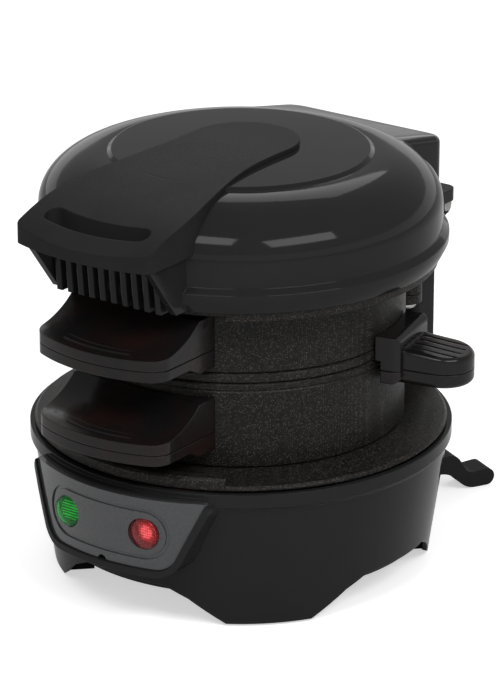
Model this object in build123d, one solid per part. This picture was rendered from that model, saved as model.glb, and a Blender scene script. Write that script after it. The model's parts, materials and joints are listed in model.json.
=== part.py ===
from build123d import *
import math
import os

# Electric burger maker: a heated base, two cooking rings with a swing-out plate
# between them, and a heated lid, all turning on one pin at the back.
# The model is drawn about the cooking axis, with the table at height 0, the front
# towards -Y and the lever on the +X side. Sizes are in millimetres and degrees.

# Clearances, and how far a cutting body runs past the face that it cuts
REST_GAP = 0.3
PIN_CLEARANCE = 0.05
CURVED_FIT = 0.1
KNUCKLE_GAP = 0.5
LIFT_GAP = 2.8
OVERRUN = 1.0

# Base housing
BASE_RIM_RADIUS = 85.0
BASE_RIM_HEIGHT = 59.0
BASE_RIM_BAND = 7.0
BASE_RIM_STEP = 1.7
BASE_TAPER = 8.9
BASE_WALL = 2.4
SKIRT_HEIGHT = 0.8
ARCH_BOTTOM_WIDTH = 81.0
ARCH_SHOULDER_WIDTH = 56.0
ARCH_TOP_WIDTH = 38.0
ARCH_SHOULDER_HEIGHT = 11.0
ARCH_HEIGHT = 15.6
FOOT_INSET = 8.1
FOOT_BLOCK_LENGTH = 12.4
FOOT_BLOCK_WIDTH = 28.0
FOOT_BLOCK_TOP = 7.5
FOOT_ANGLE = 45.0
PAD_RADIUS = 5.0
PAD_THICKNESS = 3.2
POST_RADIUS = 3.8
POST_INSET = 7.1
POST_HEIGHT = 33.0
POST_WEB = 2.4
POST_ANGLES = (20.0, 160.0, 200.0, 340.0)
POST_HOLE_DEPTH = 15.0

# Front bezel and control panel
BEZEL_RADIUS = 80.0
BEZEL_PROUD = 6.6
BEZEL_TOP_WIDTH = 92.4
BEZEL_BOTTOM_WIDTH = 61.0
BEZEL_HEIGHT = 34.7
BEZEL_CORNER = 12.0
BEZEL_TOP_CORNER = 4.5
BEZEL_BAND = 2.8
BEZEL_DEPTH = 40.0
BEZEL_TOP_DROP = 2.0
PANEL_SET_BACK = 1.0
PANEL_THICKNESS = 2.2
PANEL_TOP_DROP = 2.5
LAMP_SPACING = 37.3
LAMP_DROP = 17.2
LAMP_RADIUS = 6.3
LAMP_DEPTH = 9.0
LAMP_DOME = 1.8
LAMP_HOLDER_RADIUS = 4.6
LAMP_HOLDER_LENGTH = 9.0
LAMP_PIN_RADIUS = 0.6
LAMP_PIN_LENGTH = 4.0
LAMP_PIN_SPACING = 4.4
STADIUM_RADIUS = 10.6
STADIUM_GROOVE = 1.6
STADIUM_DEPTH = 0.6
PRY_NOTCH_WIDTH = 4.0

# Bottom cover and rear stabiliser
COVER_BOTTOM = 13.0
COVER_THICKNESS = 2.2
COVER_OVERLAP = 1.3
COVER_BOWL_INSET = 9.0
COVER_BOWL_SLOPE = 6.0
COVER_BOWL_DEPTH = 5.0
VENT_COUNT = 12
VENT_LENGTH = 18.0
VENT_WIDTH = 3.0
VENT_RADIUS = 40.0
STABILISER_WIDTH = 12.0
STABILISER_TIP_X = 41.0
STABILISER_OUTREACH = 29.5
STABILISER_ROOT_X = 14.0
STABILISER_ROOT_DEPTH = 22.5
STABILISER_THICKNESS = 4.4
STABILISER_HUMP = 3.2
STABILISER_FLAT_PLACE = 0.22
STABILISER_HUMP_PLACE = 0.63
STABILISER_KNEE_PLACE = 0.55
STABILISER_DIP_PLACE = 0.84
STABILISER_DIP = 6.9
STABILISER_TIP_HEIGHT = 7.4
STABILISER_SOLE = 9.0
STABILISER_BAR_WIDTH = 40.0
STABILISER_BAR_DEPTH = 11.0

# Cooking rings
RING_RADIUS = 65.7
RING_WALL = 2.6
LOWER_RING_HEIGHT = 34.5
UPPER_RING_HEIGHT = 26.3
RING_BEAD_DROP = 3.0
RING_BEAD_DEPTH = 0.4
RING_EASE = 0.6
PLATE_THICKNESS = 3.9
PLATE_DISH_INSET = 8.7
PLATE_DISH_SLOPE = 2.0
PLATE_DISH_DEPTH = 0.8

# Heating plates
HEATER_EDGE_INSET = 2.0
HEATER_FLANGE = 2.6
HEATER_EASE = 1.0
HEATER_SEAT_RISE = 0.6
HEATER_SEAT_MARGIN = 4.0
HEATER_DEPTH = 6.2
HEATER_SPIGOT_INSET = 7.5
HEATER_BOSS_INSET = 9.7
HEATER_BOSS_RISE = 1.6
HEATER_BOSS_SLOPE = 4.1
HEATER_LIP_RISE = 3.0
HEATER_LIP_SLOPE = 2.5
HEATER_LIP_ANGLE = 65.0
HEATER_CHORD_GAP = 0.8
ELEMENT_RADIUS = 42.0
ELEMENT_TUBE = 3.3
ELEMENT_ANGLE = 300.0
ELEMENT_PIN_RADIUS = 2.0
ELEMENT_PIN_LENGTH = 9.0
ELEMENT_PIN_INSET = 2.5
SHIELD_INSET = 12.1
SHIELD_DEPTH = 12.0
SHIELD_WALL = 0.9
SHIELD_PIN_GAP = 1.5
THERMOSTAT_RADIUS = 8.0
THERMOSTAT_TAB_LENGTH = 22.0
THERMOSTAT_TAB_WIDTH = 5.0
THERMOSTAT_TAB_RISE = 3.0
THERMOSTAT_TAB_THICKNESS = 1.0
FUSE_RADIUS = 2.2
FUSE_LENGTH = 15.0
FUSE_WIRE_RADIUS = 0.6
FUSE_WIRE_LENGTH = 30.0
FUSE_OFFSET = 24.0
TERMINAL_WIDTH = 30.0
TERMINAL_DEPTH = 12.0
TERMINAL_HEIGHT = 9.0
TERMINAL_PLACE = 14.0
TERMINAL_PITCH = 10.0
TERMINAL_HOLE = 2.2
TERMINAL_FIN = 1.6
TERMINAL_FIN_RISE = 3.0

# Hinge tower, pin and knuckles
TOWER_WIDTH = 66.0
TOWER_RING_GAP = 10.6
TOWER_DEPTH = 15.2
TOWER_DECK_DROP = 10.5
TOWER_WALL = 4.9
TOWER_DECK_WALL = 2.4
TOWER_CORNER = 3.0
TOWER_WIRE_HOLE = 10.0
SPIGOT_DEPTH = 10.0
SPIGOT_INSET = 2.5
BUTTRESS_MARGIN = 2.0
BUTTRESS_CORNER = 5.0
BUTTRESS_ROOT = 16.3
DECK_THICKNESS = 3.0
HINGE_RISE = 0.7
HINGE_OVERHANG = 4.0
KNUCKLE_RADIUS = 5.0
PIN_RADIUS = 2.4
EAR_ROOT_INSET = 3.0
EAR_CREST_LEAD = 3.0
EAR_CREST_DROP = 0.9
TOWER_EAR_WIDTH = 8.0
LID_EAR_WIDTH = 5.0
LID_EAR_INSET = 3.5
LOWER_ARM_WIDTH = 6.0
UPPER_ARM_WIDTH = 6.0
ARM_THICKNESS = 4.5
ARM_GAP = 1.8
ARM_BEND_DROP = 5.0
ARM_BEND_LEAD = 1.0
ARM_BEND_CLEARANCE = 1.4
ARM_NECK_LEAD = 1.6
ARM_NECK = 0.3
ARM_CREST_PLACE = 4.0
ARM_CREST_DROP = 2.0
ARM_BROW_PLACE = 3.0
ARM_BROW_DROP = 4.0
ARM_SHOULDER_RISE = 1.0
LOWER_PAD_RISE = 8.0
LOWER_PAD_DROP = 4.0
UPPER_PAD_RISE = 3.0
UPPER_PAD_DROP = 5.0
RIVET_RADIUS = 2.0
RIVET_HEAD_MARGIN = 1.4
RIVET_HEAD_HEIGHT = 1.2
RIVET_SET_IN = 0.2
RIVET_HOLE_MARGIN = 10.0
LOWER_RIVET_SPACING = 16.0
UPPER_RIVET_INSET = 4.5
CLIP_RADIUS = 4.2
CLIP_THICKNESS = 1.0
CLIP_GAP = 0.1
PIN_END = 0.9

# Plate pivot and lever
PIVOT_ANGLE = 60.0
PIVOT_OFFSET = 6.9
PIVOT_BOSS_RADIUS = 7.0
PIVOT_BOSS_ROUNDING = 4.0
PIVOT_BOSS_DROP = 4.0
PIVOT_PIN_RADIUS = 2.5
PIVOT_PIN_SHORT = 4.0
PIVOT_HEAD_RADIUS = 4.8
PIVOT_HEAD_HEIGHT = 2.5
PIVOT_WEB_WIDTH = 12.0
PIVOT_WEB_DROP = 3.0
PIVOT_NECK_INSET = 0.5
LEVER_ANGLE = 12.5
LEVER_ROOT_WIDTH = 32.0
LEVER_ROOT_DEPTH = 8.5
LEVER_ROOT_RISE = 6.3
LEVER_ROOT_LIFT = 0.9
LEVER_ROOT_ROUNDING = 3.5
LEVER_WIDTH = 24.0
LEVER_LENGTH = 33.3
LEVER_GAP = 0.5
LEVER_RISE = 0.8
LEVER_DEPTH = 14.4
LEVER_PARTING_DROP = 3.7
LEVER_FALL = 2.2
LEVER_ROUNDING = 2.2
LEVER_GROOVES = 4
LEVER_GROOVE_PITCH = 4.6
LEVER_GROOVE_LENGTH = 20.0
LEVER_GROOVE_SETBACK = 1.8
LEVER_GROOVE_WIDTH = 1.5
LEVER_GROOVE_DEPTH = 1.0
LEVER_TANG_DROP = 1.9
LEVER_TANG_THICKNESS = 3.0
LEVER_TANG_WIDTH = 14.0
LEVER_TANG_LENGTH = 20.3
LEVER_TANG_ROOT = 4.0
LEVER_SCREW_INSET = 5.0

# Ring handles
HANDLE_WIDTH = 61.5
HANDLE_REACH = 32.8
HANDLE_FRONT_RADIUS = 66.0
HANDLE_CORNER = 8.0
HANDLE_LOWER_RISE = 14.9
HANDLE_UPPER_RISE = 9.9
HANDLE_ROOT_RISE = 14.1
HANDLE_ROOT_DROP = 7.4
HANDLE_ROOT_DEPTH = 2.0
HANDLE_COVE = 11.0
HANDLE_COVE_RISE = 3.0
HANDLE_CHIN = 6.0
HANDLE_GRIP_RISE = 4.2
HANDLE_GRIP_DROP = 4.2
HANDLE_TANG_WIDTH = 26.0
HANDLE_TANG_THICKNESS = 3.0
HANDLE_TANG_LENGTH = 22.3
HANDLE_SCREW_SPACING = 16.0
HANDLE_SCREW_PLACE = 14.3
HANDLE_SCREW_LENGTH = 5.6
HANDLE_RIDGE_WIDTH = 0.9
HANDLE_RIDGE_HEIGHT = 0.7
HANDLE_RIDGES = ((12.0, 36.0), (8.5, 42.0), (5.0, 30.0))

# Lid
LID_MARGIN = 14.3
LID_HEATER_THICKNESS = 3.9
LID_HEATER_INSET = 1.0
LID_FLANGE_PROUD = 2.5
LID_FLANGE_RISE = 5.0
LID_FLANGE_THICKNESS = 3.0
LID_FLANGE_BEVEL = 2.2
LID_SIDE_HEIGHT = 19.0
LID_SHOULDER_RISE = 20.5
LID_DISC_RADIUS = 52.6
LID_STEP_SLOPE = 1.6
LID_STEP = 1.5
LID_CROWN_RISE = 1.4
LID_WALL = 2.2
LID_LIP_INSET = 1.5
LID_LIP_WIDTH = 8.0
LID_LIP_DROP = 0.6
LID_LIP_LEDGE = 3.0
HOOD_WIDTH = 77.6
HOOD_START = 52.0
HOOD_BACK_INSET = 3.0
HOOD_FRONT_DROP = 1.9
HOOD_FALL = 7.6
HOOD_CORNER = 8.0
HOOD_ROUNDING = 3.0
LEDGE_WIDTH = 84.0
LEDGE_PROUD = 0.9
LEDGE_CORNER = 5.0
LEDGE_RISE = 3.0
BRACKET_RISE = 9.0
BRACKET_THICKNESS = 3.0
BRACKET_LEAD = 8.3
BRACKET_GAP = 1.0
BRACKET_SCREW_SPACING = 56.0
BRACKET_SCREW_INSET = 16.5
BRACKET_POST_RADIUS = 4.0

# Lid handle
TONGUE_RADIUS = 22.0
TONGUE_CENTRE_Y = 2.0
TONGUE_PROUD = 1.2
TONGUE_WAIST_Y = -22.0
TONGUE_WAIST_SWELL = 0.4
TONGUE_FLARE_Y = -68.0
TONGUE_FLARE_SHORT = 1.4
TONGUE_SIDE_Y = -84.0
TONGUE_MIDDLE_Y = -62.0
TONGUE_MIDDLE_DROP = 3.9
GRIP_WIDTH = 64.6
GRIP_PROUD = 25.5
GRIP_BOW = 5.5
GRIP_DROP = 13.9
GRIP_SLOPE = 0.45
GRIP_THICKNESS = 7.2
GRIP_CORNER = 4.0
GRIP_SLOT_OFFSET = 12.6
GRIP_SLOT_WIDTH = 8.2
GRIP_SLOT_ANGLE = 25.5
CHEEK_THICKNESS = 3.0
CHEEK_INSET = 2.4
CHEEK_TOP_PROUD = 17.5
CHEEK_BOTTOM_PROUD = 1.0
CHEEK_BOTTOM_RISE = 0.4
RIB_COUNT = 10
RIB_PITCH = 5.3
RIB_WIDTH = 2.6
RIB_BOTTOM_PROUD = 4.2
RIB_TOP_PROUD = 6.4
LID_RIB_ROOT = 20.0

# Small parts
SCREW_RADIUS = 1.6
SCREW_HEAD_RADIUS = 3.0
SCREW_HEAD_HEIGHT = 2.0
BASE_SCREW_LENGTH = 12.0
LID_SCREW_LENGTH = 9.0
LEVER_SCREW_LENGTH = 8.6
GLAND_RADIUS = 6.0
GLAND_STEM_RADIUS = 4.0
GLAND_BORE = 2.6
GLAND_HEIGHT = 32.0
GLAND_LENGTH = 8.0
GLAND_FLANGE = 2.5
GLAND_INSIDE = 3.0

# Radii and heights that follow from the sizes above
BASE_FOOT_RADIUS = BASE_RIM_RADIUS - BASE_TAPER
BASE_SHOULDER_RADIUS = BASE_RIM_RADIUS - BASE_RIM_STEP
BASE_BAND_LOW = BASE_RIM_HEIGHT - BASE_RIM_BAND
BASE_BAND_HIGH = BASE_BAND_LOW + BASE_RIM_STEP
FOOT_CENTRE_RADIUS = BASE_FOOT_RADIUS - FOOT_INSET
POST_CENTRE_RADIUS = BASE_FOOT_RADIUS - POST_INSET
POST_BOTTOM = COVER_BOTTOM + COVER_THICKNESS
COVER_BOWL_RADIUS = POST_CENTRE_RADIUS - COVER_BOWL_INSET
BEZEL_FRONT = BASE_RIM_RADIUS + BEZEL_PROUD
BEZEL_CENTRE_Y = BEZEL_RADIUS - BEZEL_FRONT
BEZEL_BOTTOM = BASE_RIM_HEIGHT - BEZEL_HEIGHT
BEZEL_FLARE = (BEZEL_TOP_WIDTH - BEZEL_BOTTOM_WIDTH) / 2 / BEZEL_HEIGHT
LAMP_HEIGHT = BASE_RIM_HEIGHT - LAMP_DROP
HEATER_RIM_RADIUS = BASE_RIM_RADIUS - HEATER_EDGE_INSET
HEATER_LIP_INNER = HEATER_RIM_RADIUS - HEATER_SPIGOT_INSET
HEATER_RIM_TOP = BASE_RIM_HEIGHT + HEATER_FLANGE
HEATER_SEAT_TOP = HEATER_RIM_TOP + HEATER_SEAT_RISE
HEATER_UNDERSIDE = HEATER_SEAT_TOP - HEATER_DEPTH
HEATER_BOSS_RADIUS = RING_RADIUS - HEATER_BOSS_INSET
SHIELD_FLOOR = HEATER_UNDERSIDE - SHIELD_DEPTH
SHIELD_RADIUS = BASE_FOOT_RADIUS - SHIELD_INSET
LOWER_RING_BOTTOM = HEATER_SEAT_TOP + REST_GAP
LOWER_RING_TOP = LOWER_RING_BOTTOM + LOWER_RING_HEIGHT
PLATE_BOTTOM = LOWER_RING_TOP + REST_GAP
PLATE_TOP = PLATE_BOTTOM + PLATE_THICKNESS
UPPER_RING_BOTTOM = PLATE_TOP + REST_GAP
UPPER_RING_TOP = UPPER_RING_BOTTOM + UPPER_RING_HEIGHT
RING_BORE = RING_RADIUS - RING_WALL
TOWER_FRONT = RING_RADIUS + TOWER_RING_GAP
TOWER_BACK = TOWER_FRONT + TOWER_DEPTH
HINGE_Y = TOWER_BACK + HINGE_OVERHANG
HINGE_Z = UPPER_RING_TOP + HINGE_RISE
TOWER_DECK = HINGE_Z - TOWER_DECK_DROP
HEATER_CHORD_Y = TOWER_FRONT - HEATER_CHORD_GAP
ARM_FRONT = RING_RADIUS + ARM_GAP
ARM_BACK = ARM_FRONT + ARM_THICKNESS
TOWER_EAR_INNER = TOWER_WIDTH / 2 - TOWER_EAR_WIDTH
LID_EAR_OUTER = TOWER_EAR_INNER - KNUCKLE_GAP
LOWER_ARM_OUTER = LID_EAR_OUTER - LID_EAR_WIDTH - KNUCKLE_GAP
UPPER_ARM_OUTER = LOWER_ARM_OUTER - LOWER_ARM_WIDTH - KNUCKLE_GAP
LOWER_PAD = (LOWER_RING_BOTTOM + LOWER_PAD_RISE, LOWER_RING_TOP - LOWER_PAD_DROP)
UPPER_PAD = (UPPER_RING_BOTTOM + UPPER_PAD_RISE, UPPER_RING_TOP - UPPER_PAD_DROP)
LOWER_RIVETS = [(side * LOWER_RIVET_SPACING / 2, sum(LOWER_PAD) / 2) for side in (-1, 1)]
UPPER_RIVETS = [(0.0, UPPER_PAD[0] + UPPER_RIVET_INSET), (0.0, UPPER_PAD[1] - UPPER_RIVET_INSET)]
PIVOT_RADIUS = RING_RADIUS + PIVOT_OFFSET
PIVOT_X = PIVOT_RADIUS * math.cos(math.radians(PIVOT_ANGLE))
PIVOT_Y = PIVOT_RADIUS * math.sin(math.radians(PIVOT_ANGLE))
PIVOT_BOSS_TOP = UPPER_RING_TOP - PIVOT_BOSS_DROP
PIVOT_PIN_TOP = PIVOT_BOSS_TOP - PIVOT_PIN_SHORT
LEVER_ROOT = RING_RADIUS + LEVER_GAP
LEVER_REACH = RING_RADIUS + LEVER_LENGTH
LEVER_TOP = PLATE_TOP + LEVER_RISE
LEVER_BOTTOM = LEVER_TOP - LEVER_DEPTH
LEVER_PARTING = PLATE_BOTTOM - LEVER_PARTING_DROP
LEVER_ROOT_TOP = PLATE_TOP + LEVER_ROOT_RISE
LEVER_ROOT_BOTTOM = LEVER_BOTTOM + LEVER_ROOT_LIFT
LEVER_TANG_BOTTOM = PLATE_BOTTOM - LEVER_TANG_DROP
LEVER_TANG_TOP = LEVER_TANG_BOTTOM + LEVER_TANG_THICKNESS
LEVER_TANG_END = RING_RADIUS + LEVER_TANG_LENGTH
LEVER_SCREW_X = LEVER_TANG_END - LEVER_SCREW_INSET
HANDLE_FRONT = RING_RADIUS + HANDLE_REACH
HANDLE_LOWER_PARTING = LOWER_RING_BOTTOM + HANDLE_LOWER_RISE
HANDLE_UPPER_PARTING = UPPER_RING_BOTTOM + HANDLE_UPPER_RISE
HANDLE_TANG_END = RING_RADIUS + HANDLE_TANG_LENGTH
HANDLE_SCREW_Y = RING_RADIUS + HANDLE_SCREW_PLACE
LID_EDGE_RADIUS = RING_RADIUS + LID_MARGIN
LID_FLANGE_RADIUS = LID_EDGE_RADIUS + LID_FLANGE_PROUD
LID_HEATER_FACE = UPPER_RING_TOP + REST_GAP
LID_HEATER_TOP = LID_HEATER_FACE + LID_HEATER_THICKNESS
LID_EDGE_HEIGHT = LID_HEATER_TOP - LID_HEATER_INSET
LID_FLANGE_LOW = LID_EDGE_HEIGHT + LID_FLANGE_RISE
LID_FLANGE_HIGH = LID_FLANGE_LOW + LID_FLANGE_THICKNESS
LID_SIDE_TOP = LID_EDGE_HEIGHT + LID_SIDE_HEIGHT
LID_DISC_HEIGHT = LID_SIDE_TOP + LID_SHOULDER_RISE
LID_CROWN_RADIUS = LID_DISC_RADIUS - LID_STEP_SLOPE
LID_CROWN_HEIGHT = LID_DISC_HEIGHT + LID_STEP
LID_TOP_HEIGHT = LID_CROWN_HEIGHT + LID_CROWN_RISE
LID_LIP_RADIUS = LID_EDGE_RADIUS - LID_LIP_INSET
LID_LIP_INNER = LID_LIP_RADIUS - LID_LIP_WIDTH
LID_LIP_BOTTOM = LID_HEATER_FACE - LID_LIP_DROP
HOOD_BACK = TOWER_BACK - HOOD_BACK_INSET
HOOD_TOP_FRONT = LID_DISC_HEIGHT - HOOD_FRONT_DROP
HOOD_TOP_BACK = HOOD_TOP_FRONT - HOOD_FALL
LEDGE_BACK = TOWER_BACK + LEDGE_PROUD
LEDGE_BOTTOM = LID_EDGE_HEIGHT + LEDGE_RISE
BRACKET_BOTTOM = LID_EDGE_HEIGHT + BRACKET_RISE
BRACKET_TOP = BRACKET_BOTTOM + BRACKET_THICKNESS
BRACKET_BACK = HOOD_BACK - LID_WALL - BRACKET_GAP
BRACKET_SCREW_Y = TOWER_BACK - BRACKET_SCREW_INSET
TONGUE_TOP = LID_TOP_HEIGHT + TONGUE_PROUD
GRIP_FRONT_Y = -LID_EDGE_RADIUS - GRIP_PROUD
GRIP_CORNER_Y = GRIP_FRONT_Y + GRIP_BOW
GRIP_FRONT_TOP = TONGUE_TOP - GRIP_DROP
GRIP_UNDERSIDE = GRIP_FRONT_TOP - GRIP_THICKNESS
GRIP_SLOT_RADIUS = LID_EDGE_RADIUS + GRIP_SLOT_OFFSET
STABILISER_ROOT_Y = TOWER_BACK - STABILISER_ROOT_DEPTH
STABILISER_TIP_Y = TOWER_BACK + STABILISER_OUTREACH
STABILISER_RUN_X = STABILISER_TIP_X - STABILISER_ROOT_X
STABILISER_RUN_Y = STABILISER_TIP_Y - STABILISER_ROOT_Y
STABILISER_LENGTH = math.hypot(STABILISER_RUN_X, STABILISER_RUN_Y)
STABILISER_ROOT_TOP = COVER_BOTTOM
STABILISER_ROOT_LOW = STABILISER_ROOT_TOP - STABILISER_THICKNESS

# The handed-in frame has its origin under the middle of the whole footprint.
LEVER_TIP_RADIUS = LEVER_WIDTH / 2
LEVER_TIP_CENTRE = LEVER_REACH - LEVER_TIP_RADIUS
LEVER_END_X = LEVER_TIP_CENTRE * math.cos(math.radians(LEVER_ANGLE)) + LEVER_TIP_RADIUS
STABILISER_END_Y = STABILISER_TIP_Y + STABILISER_WIDTH / 2 * STABILISER_RUN_X / STABILISER_LENGTH
SHIFT_X = (BASE_RIM_RADIUS - LEVER_END_X) / 2
SHIFT_Y = (-GRIP_FRONT_Y - STABILISER_END_Y) / 2


def turned(points, angle=360.0):
    """Solid of revolution about the cooking axis from radius and height pairs."""
    face = make_face(Polyline(*points, close=True))
    return revolve(Plane.XZ * face, Axis.Z, angle)


def side_plate(points, x_low, x_high):
    """Plate with a side-view outline in Y and Z, between two X planes."""
    face = make_face(Polyline(*points, close=True))
    return Pos(x_low, 0, 0) * extrude(Plane.YZ * face, x_high - x_low)


def mirrored(shape):
    """A shape and its copy on the other side of the middle plane."""
    return shape + mirror(shape, Plane.YZ)


def block(x, y, z):
    """Box between pairs of X, Y and Z limits."""
    size = Box(x[1] - x[0], y[1] - y[0], z[1] - z[0])
    return Pos((x[0] + x[1]) / 2, (y[0] + y[1]) / 2, (z[0] + z[1]) / 2) * size


def rod_x(radius, x_low, x_high, y, z):
    """Round rod along X."""
    rod = Rot(0, 90, 0) * Cylinder(radius, x_high - x_low)
    return Pos((x_low + x_high) / 2, y, z) * rod


def rod_y(radius, y_low, y_high, x, z):
    """Round rod along Y."""
    rod = Rot(90, 0, 0) * Cylinder(radius, y_high - y_low)
    return Pos(x, (y_low + y_high) / 2, z) * rod


def rod_z(radius, z_low, z_high, x=0.0, y=0.0):
    """Upright round rod."""
    return Pos(x, y, (z_low + z_high) / 2) * Cylinder(radius, z_high - z_low)


def front_sector(angle, z_low, z_high):
    """Wedge from the cooking axis towards the front, for cutting arcs."""
    reach = -GRIP_FRONT_Y + OVERRUN
    tip = reach * math.tan(math.radians(angle / 2))
    face = make_face(Polyline((0, 0), (-tip, -reach), (tip, -reach), close=True))
    return Pos(0, 0, z_low) * extrude(face, z_high - z_low)


def arc_bar(radius, width, angle, z_low, z_high, centre_y):
    """Thin upright arc, bowed towards the front."""
    ring = rod_z(radius + width / 2, z_low, z_high)
    ring -= rod_z(radius - width / 2, z_low - OVERRUN, z_high + OVERRUN)
    sector = front_sector(angle, z_low - OVERRUN, z_high + OVERRUN)
    return Pos(0, centre_y, 0) * (ring & sector)


def skirt_radius(height):
    """Outer radius of the base housing at a height below its rim band."""
    share = (height - SKIRT_HEIGHT) / (BASE_BAND_LOW - SKIRT_HEIGHT)
    return BASE_FOOT_RADIUS + share * (BASE_SHOULDER_RADIUS - BASE_FOOT_RADIUS)


def base_outer():
    return turned([
        (0, SKIRT_HEIGHT), (BASE_FOOT_RADIUS, SKIRT_HEIGHT), (BASE_SHOULDER_RADIUS, BASE_BAND_LOW),
        (BASE_RIM_RADIUS, BASE_BAND_HIGH), (BASE_RIM_RADIUS, BASE_RIM_HEIGHT), (0, BASE_RIM_HEIGHT)])


def base_inner():
    foot = BASE_FOOT_RADIUS - BASE_WALL
    shoulder = BASE_SHOULDER_RADIUS - BASE_WALL
    rim = BASE_RIM_RADIUS - BASE_WALL
    top = BASE_RIM_HEIGHT + OVERRUN
    return turned([
        (0, 0), (foot, 0), (foot, SKIRT_HEIGHT), (shoulder, BASE_BAND_LOW),
        (rim, BASE_BAND_HIGH), (rim, top), (0, top)])


def arch_cutter():
    """Cut under one side of the skirt, between two feet."""
    half = [
        (ARCH_BOTTOM_WIDTH / 2, -OVERRUN), (ARCH_BOTTOM_WIDTH / 2, SKIRT_HEIGHT),
        (ARCH_SHOULDER_WIDTH / 2, ARCH_SHOULDER_HEIGHT), (ARCH_TOP_WIDTH / 2, ARCH_HEIGHT)]
    other_half = [(-x, z) for x, z in reversed(half)]
    outline = Plane.XZ * make_face(Polyline(*half, *other_half, close=True))
    return Pos(0, -BASE_FOOT_RADIUS / 2, 0) * extrude(outline, BASE_RIM_RADIUS)


def bezel_outline(inset, top):
    """Trapezoid with round corners, in the front view."""
    low = BEZEL_BOTTOM + inset
    half_low = BEZEL_BOTTOM_WIDTH / 2 - inset + BEZEL_FLARE * inset
    half_top = BEZEL_TOP_WIDTH / 2 - inset + BEZEL_FLARE * (top - BASE_RIM_HEIGHT)
    face = make_face(Polyline(
        (-half_top, top), (-half_low, low), (half_low, low), (half_top, top), close=True))
    face = fillet(face.vertices().sort_by(Axis.Y)[:2], BEZEL_CORNER - inset)
    return fillet(face.vertices().sort_by(Axis.Y)[-2:], BEZEL_TOP_CORNER - inset)


def bezel_prism(inset, top):
    face = Plane.XZ * bezel_outline(inset, top)
    return Pos(0, BEZEL_DEPTH - BEZEL_FRONT, 0) * extrude(face, BEZEL_DEPTH + OVERRUN)


def bezel_drum(set_back):
    """Upright drum that gives the bulged front of the bezel and the panel."""
    drum = rod_z(BEZEL_RADIUS - set_back, 0, BASE_RIM_HEIGHT)
    return Pos(0, BEZEL_CENTRE_Y, 0) * drum


def panel_pocket():
    """Recess in the bezel that takes the control panel."""
    floor = PANEL_SET_BACK + PANEL_THICKNESS + CURVED_FIT
    skin = bezel_drum(-OVERRUN) - bezel_drum(floor)
    return bezel_prism(BEZEL_BAND, BASE_RIM_HEIGHT + BEZEL_TOP_CORNER) & skin


def rear_buttress(inset, z_low, z_high):
    """Block at the back of the base that carries the tower."""
    half = TOWER_WIDTH / 2 + BUTTRESS_MARGIN - inset
    body = block((-half, half), (TOWER_FRONT - BUTTRESS_ROOT, TOWER_BACK - inset), (z_low, z_high))
    return fillet(body.edges().filter_by(Axis.Z).sort_by(Axis.Y)[-2:], BUTTRESS_CORNER - inset)


def rear_deck():
    """Top of the buttress, round the tower's spigot."""
    half = TOWER_WIDTH / 2 + BUTTRESS_MARGIN
    return block((-half, half), (HEATER_CHORD_Y + REST_GAP, TOWER_BACK - BASE_WALL / 2),
                 (BASE_RIM_HEIGHT - DECK_THICKNESS, BASE_RIM_HEIGHT))


def lamp_cutters(radius):
    """Holes for the two lamps."""
    inside = lamp_front() + LAMP_DEPTH + LAMP_HOLDER_LENGTH
    return mirrored(rod_y(radius, -BEZEL_FRONT - OVERRUN, inside, LAMP_SPACING / 2, LAMP_HEIGHT))


def foot_places():
    return [Rot(0, 0, FOOT_ANGLE + 90 * quarter) for quarter in range(4)]


def foot_block():
    middle = (SKIRT_HEIGHT + FOOT_BLOCK_TOP) / 2
    body = Box(FOOT_BLOCK_LENGTH, FOOT_BLOCK_WIDTH, FOOT_BLOCK_TOP - SKIRT_HEIGHT)
    return Pos(FOOT_CENTRE_RADIUS, 0, middle) * body


def screw_post():
    """Post for a base screw, tied to the skirt by a web."""
    top = POST_BOTTOM + POST_HEIGHT
    post = rod_z(POST_RADIUS, POST_BOTTOM, top, POST_CENTRE_RADIUS)
    skin = skirt_radius(POST_BOTTOM) - BASE_WALL / 2
    return post + block((POST_CENTRE_RADIUS, skin), (-POST_WEB / 2, POST_WEB / 2), (POST_BOTTOM, top))


def base_housing():
    body = base_outer()
    body += bezel_prism(0, BASE_RIM_HEIGHT - BEZEL_TOP_DROP) & bezel_drum(0)
    body += rear_buttress(0, ARCH_HEIGHT, BASE_RIM_HEIGHT)
    body -= base_inner()
    hollow_top = BASE_RIM_HEIGHT - SPIGOT_DEPTH - BASE_WALL
    body -= rear_buttress(BASE_WALL, ARCH_HEIGHT + BASE_WALL, hollow_top)
    for quarter in range(4):
        body -= Rot(0, 0, 90 * quarter) * arch_cutter()
    body -= panel_pocket()
    body += rear_deck()
    body -= tower_spigot(-REST_GAP)
    body -= lamp_cutters(LAMP_RADIUS + CURVED_FIT)
    for place in foot_places():
        body += place * foot_block()
        body -= place * rod_z(PAD_RADIUS + CURVED_FIT, 0, PAD_THICKNESS, FOOT_CENTRE_RADIUS)
    for angle in POST_ANGLES:
        turn = Rot(0, 0, angle)
        body += turn * screw_post()
        body -= turn * rod_z(SCREW_RADIUS, 0, POST_BOTTOM + POST_HOLE_DEPTH, POST_CENTRE_RADIUS)
    gland_hole = rod_y(GLAND_STEM_RADIUS + CURVED_FIT, TOWER_BACK - GLAND_LENGTH,
                       TOWER_BACK + OVERRUN, 0, GLAND_HEIGHT)
    return body - gland_hole


def tower_spigot(inset):
    """Tongue of the tower that plugs into the base."""
    half = TOWER_WIDTH / 2 - SPIGOT_INSET - inset
    front = TOWER_FRONT + SPIGOT_INSET + inset
    back = TOWER_BACK - SPIGOT_INSET - inset
    return block((-half, half), (front, back),
                 (BASE_RIM_HEIGHT - SPIGOT_DEPTH + inset, BASE_RIM_HEIGHT + OVERRUN))


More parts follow.
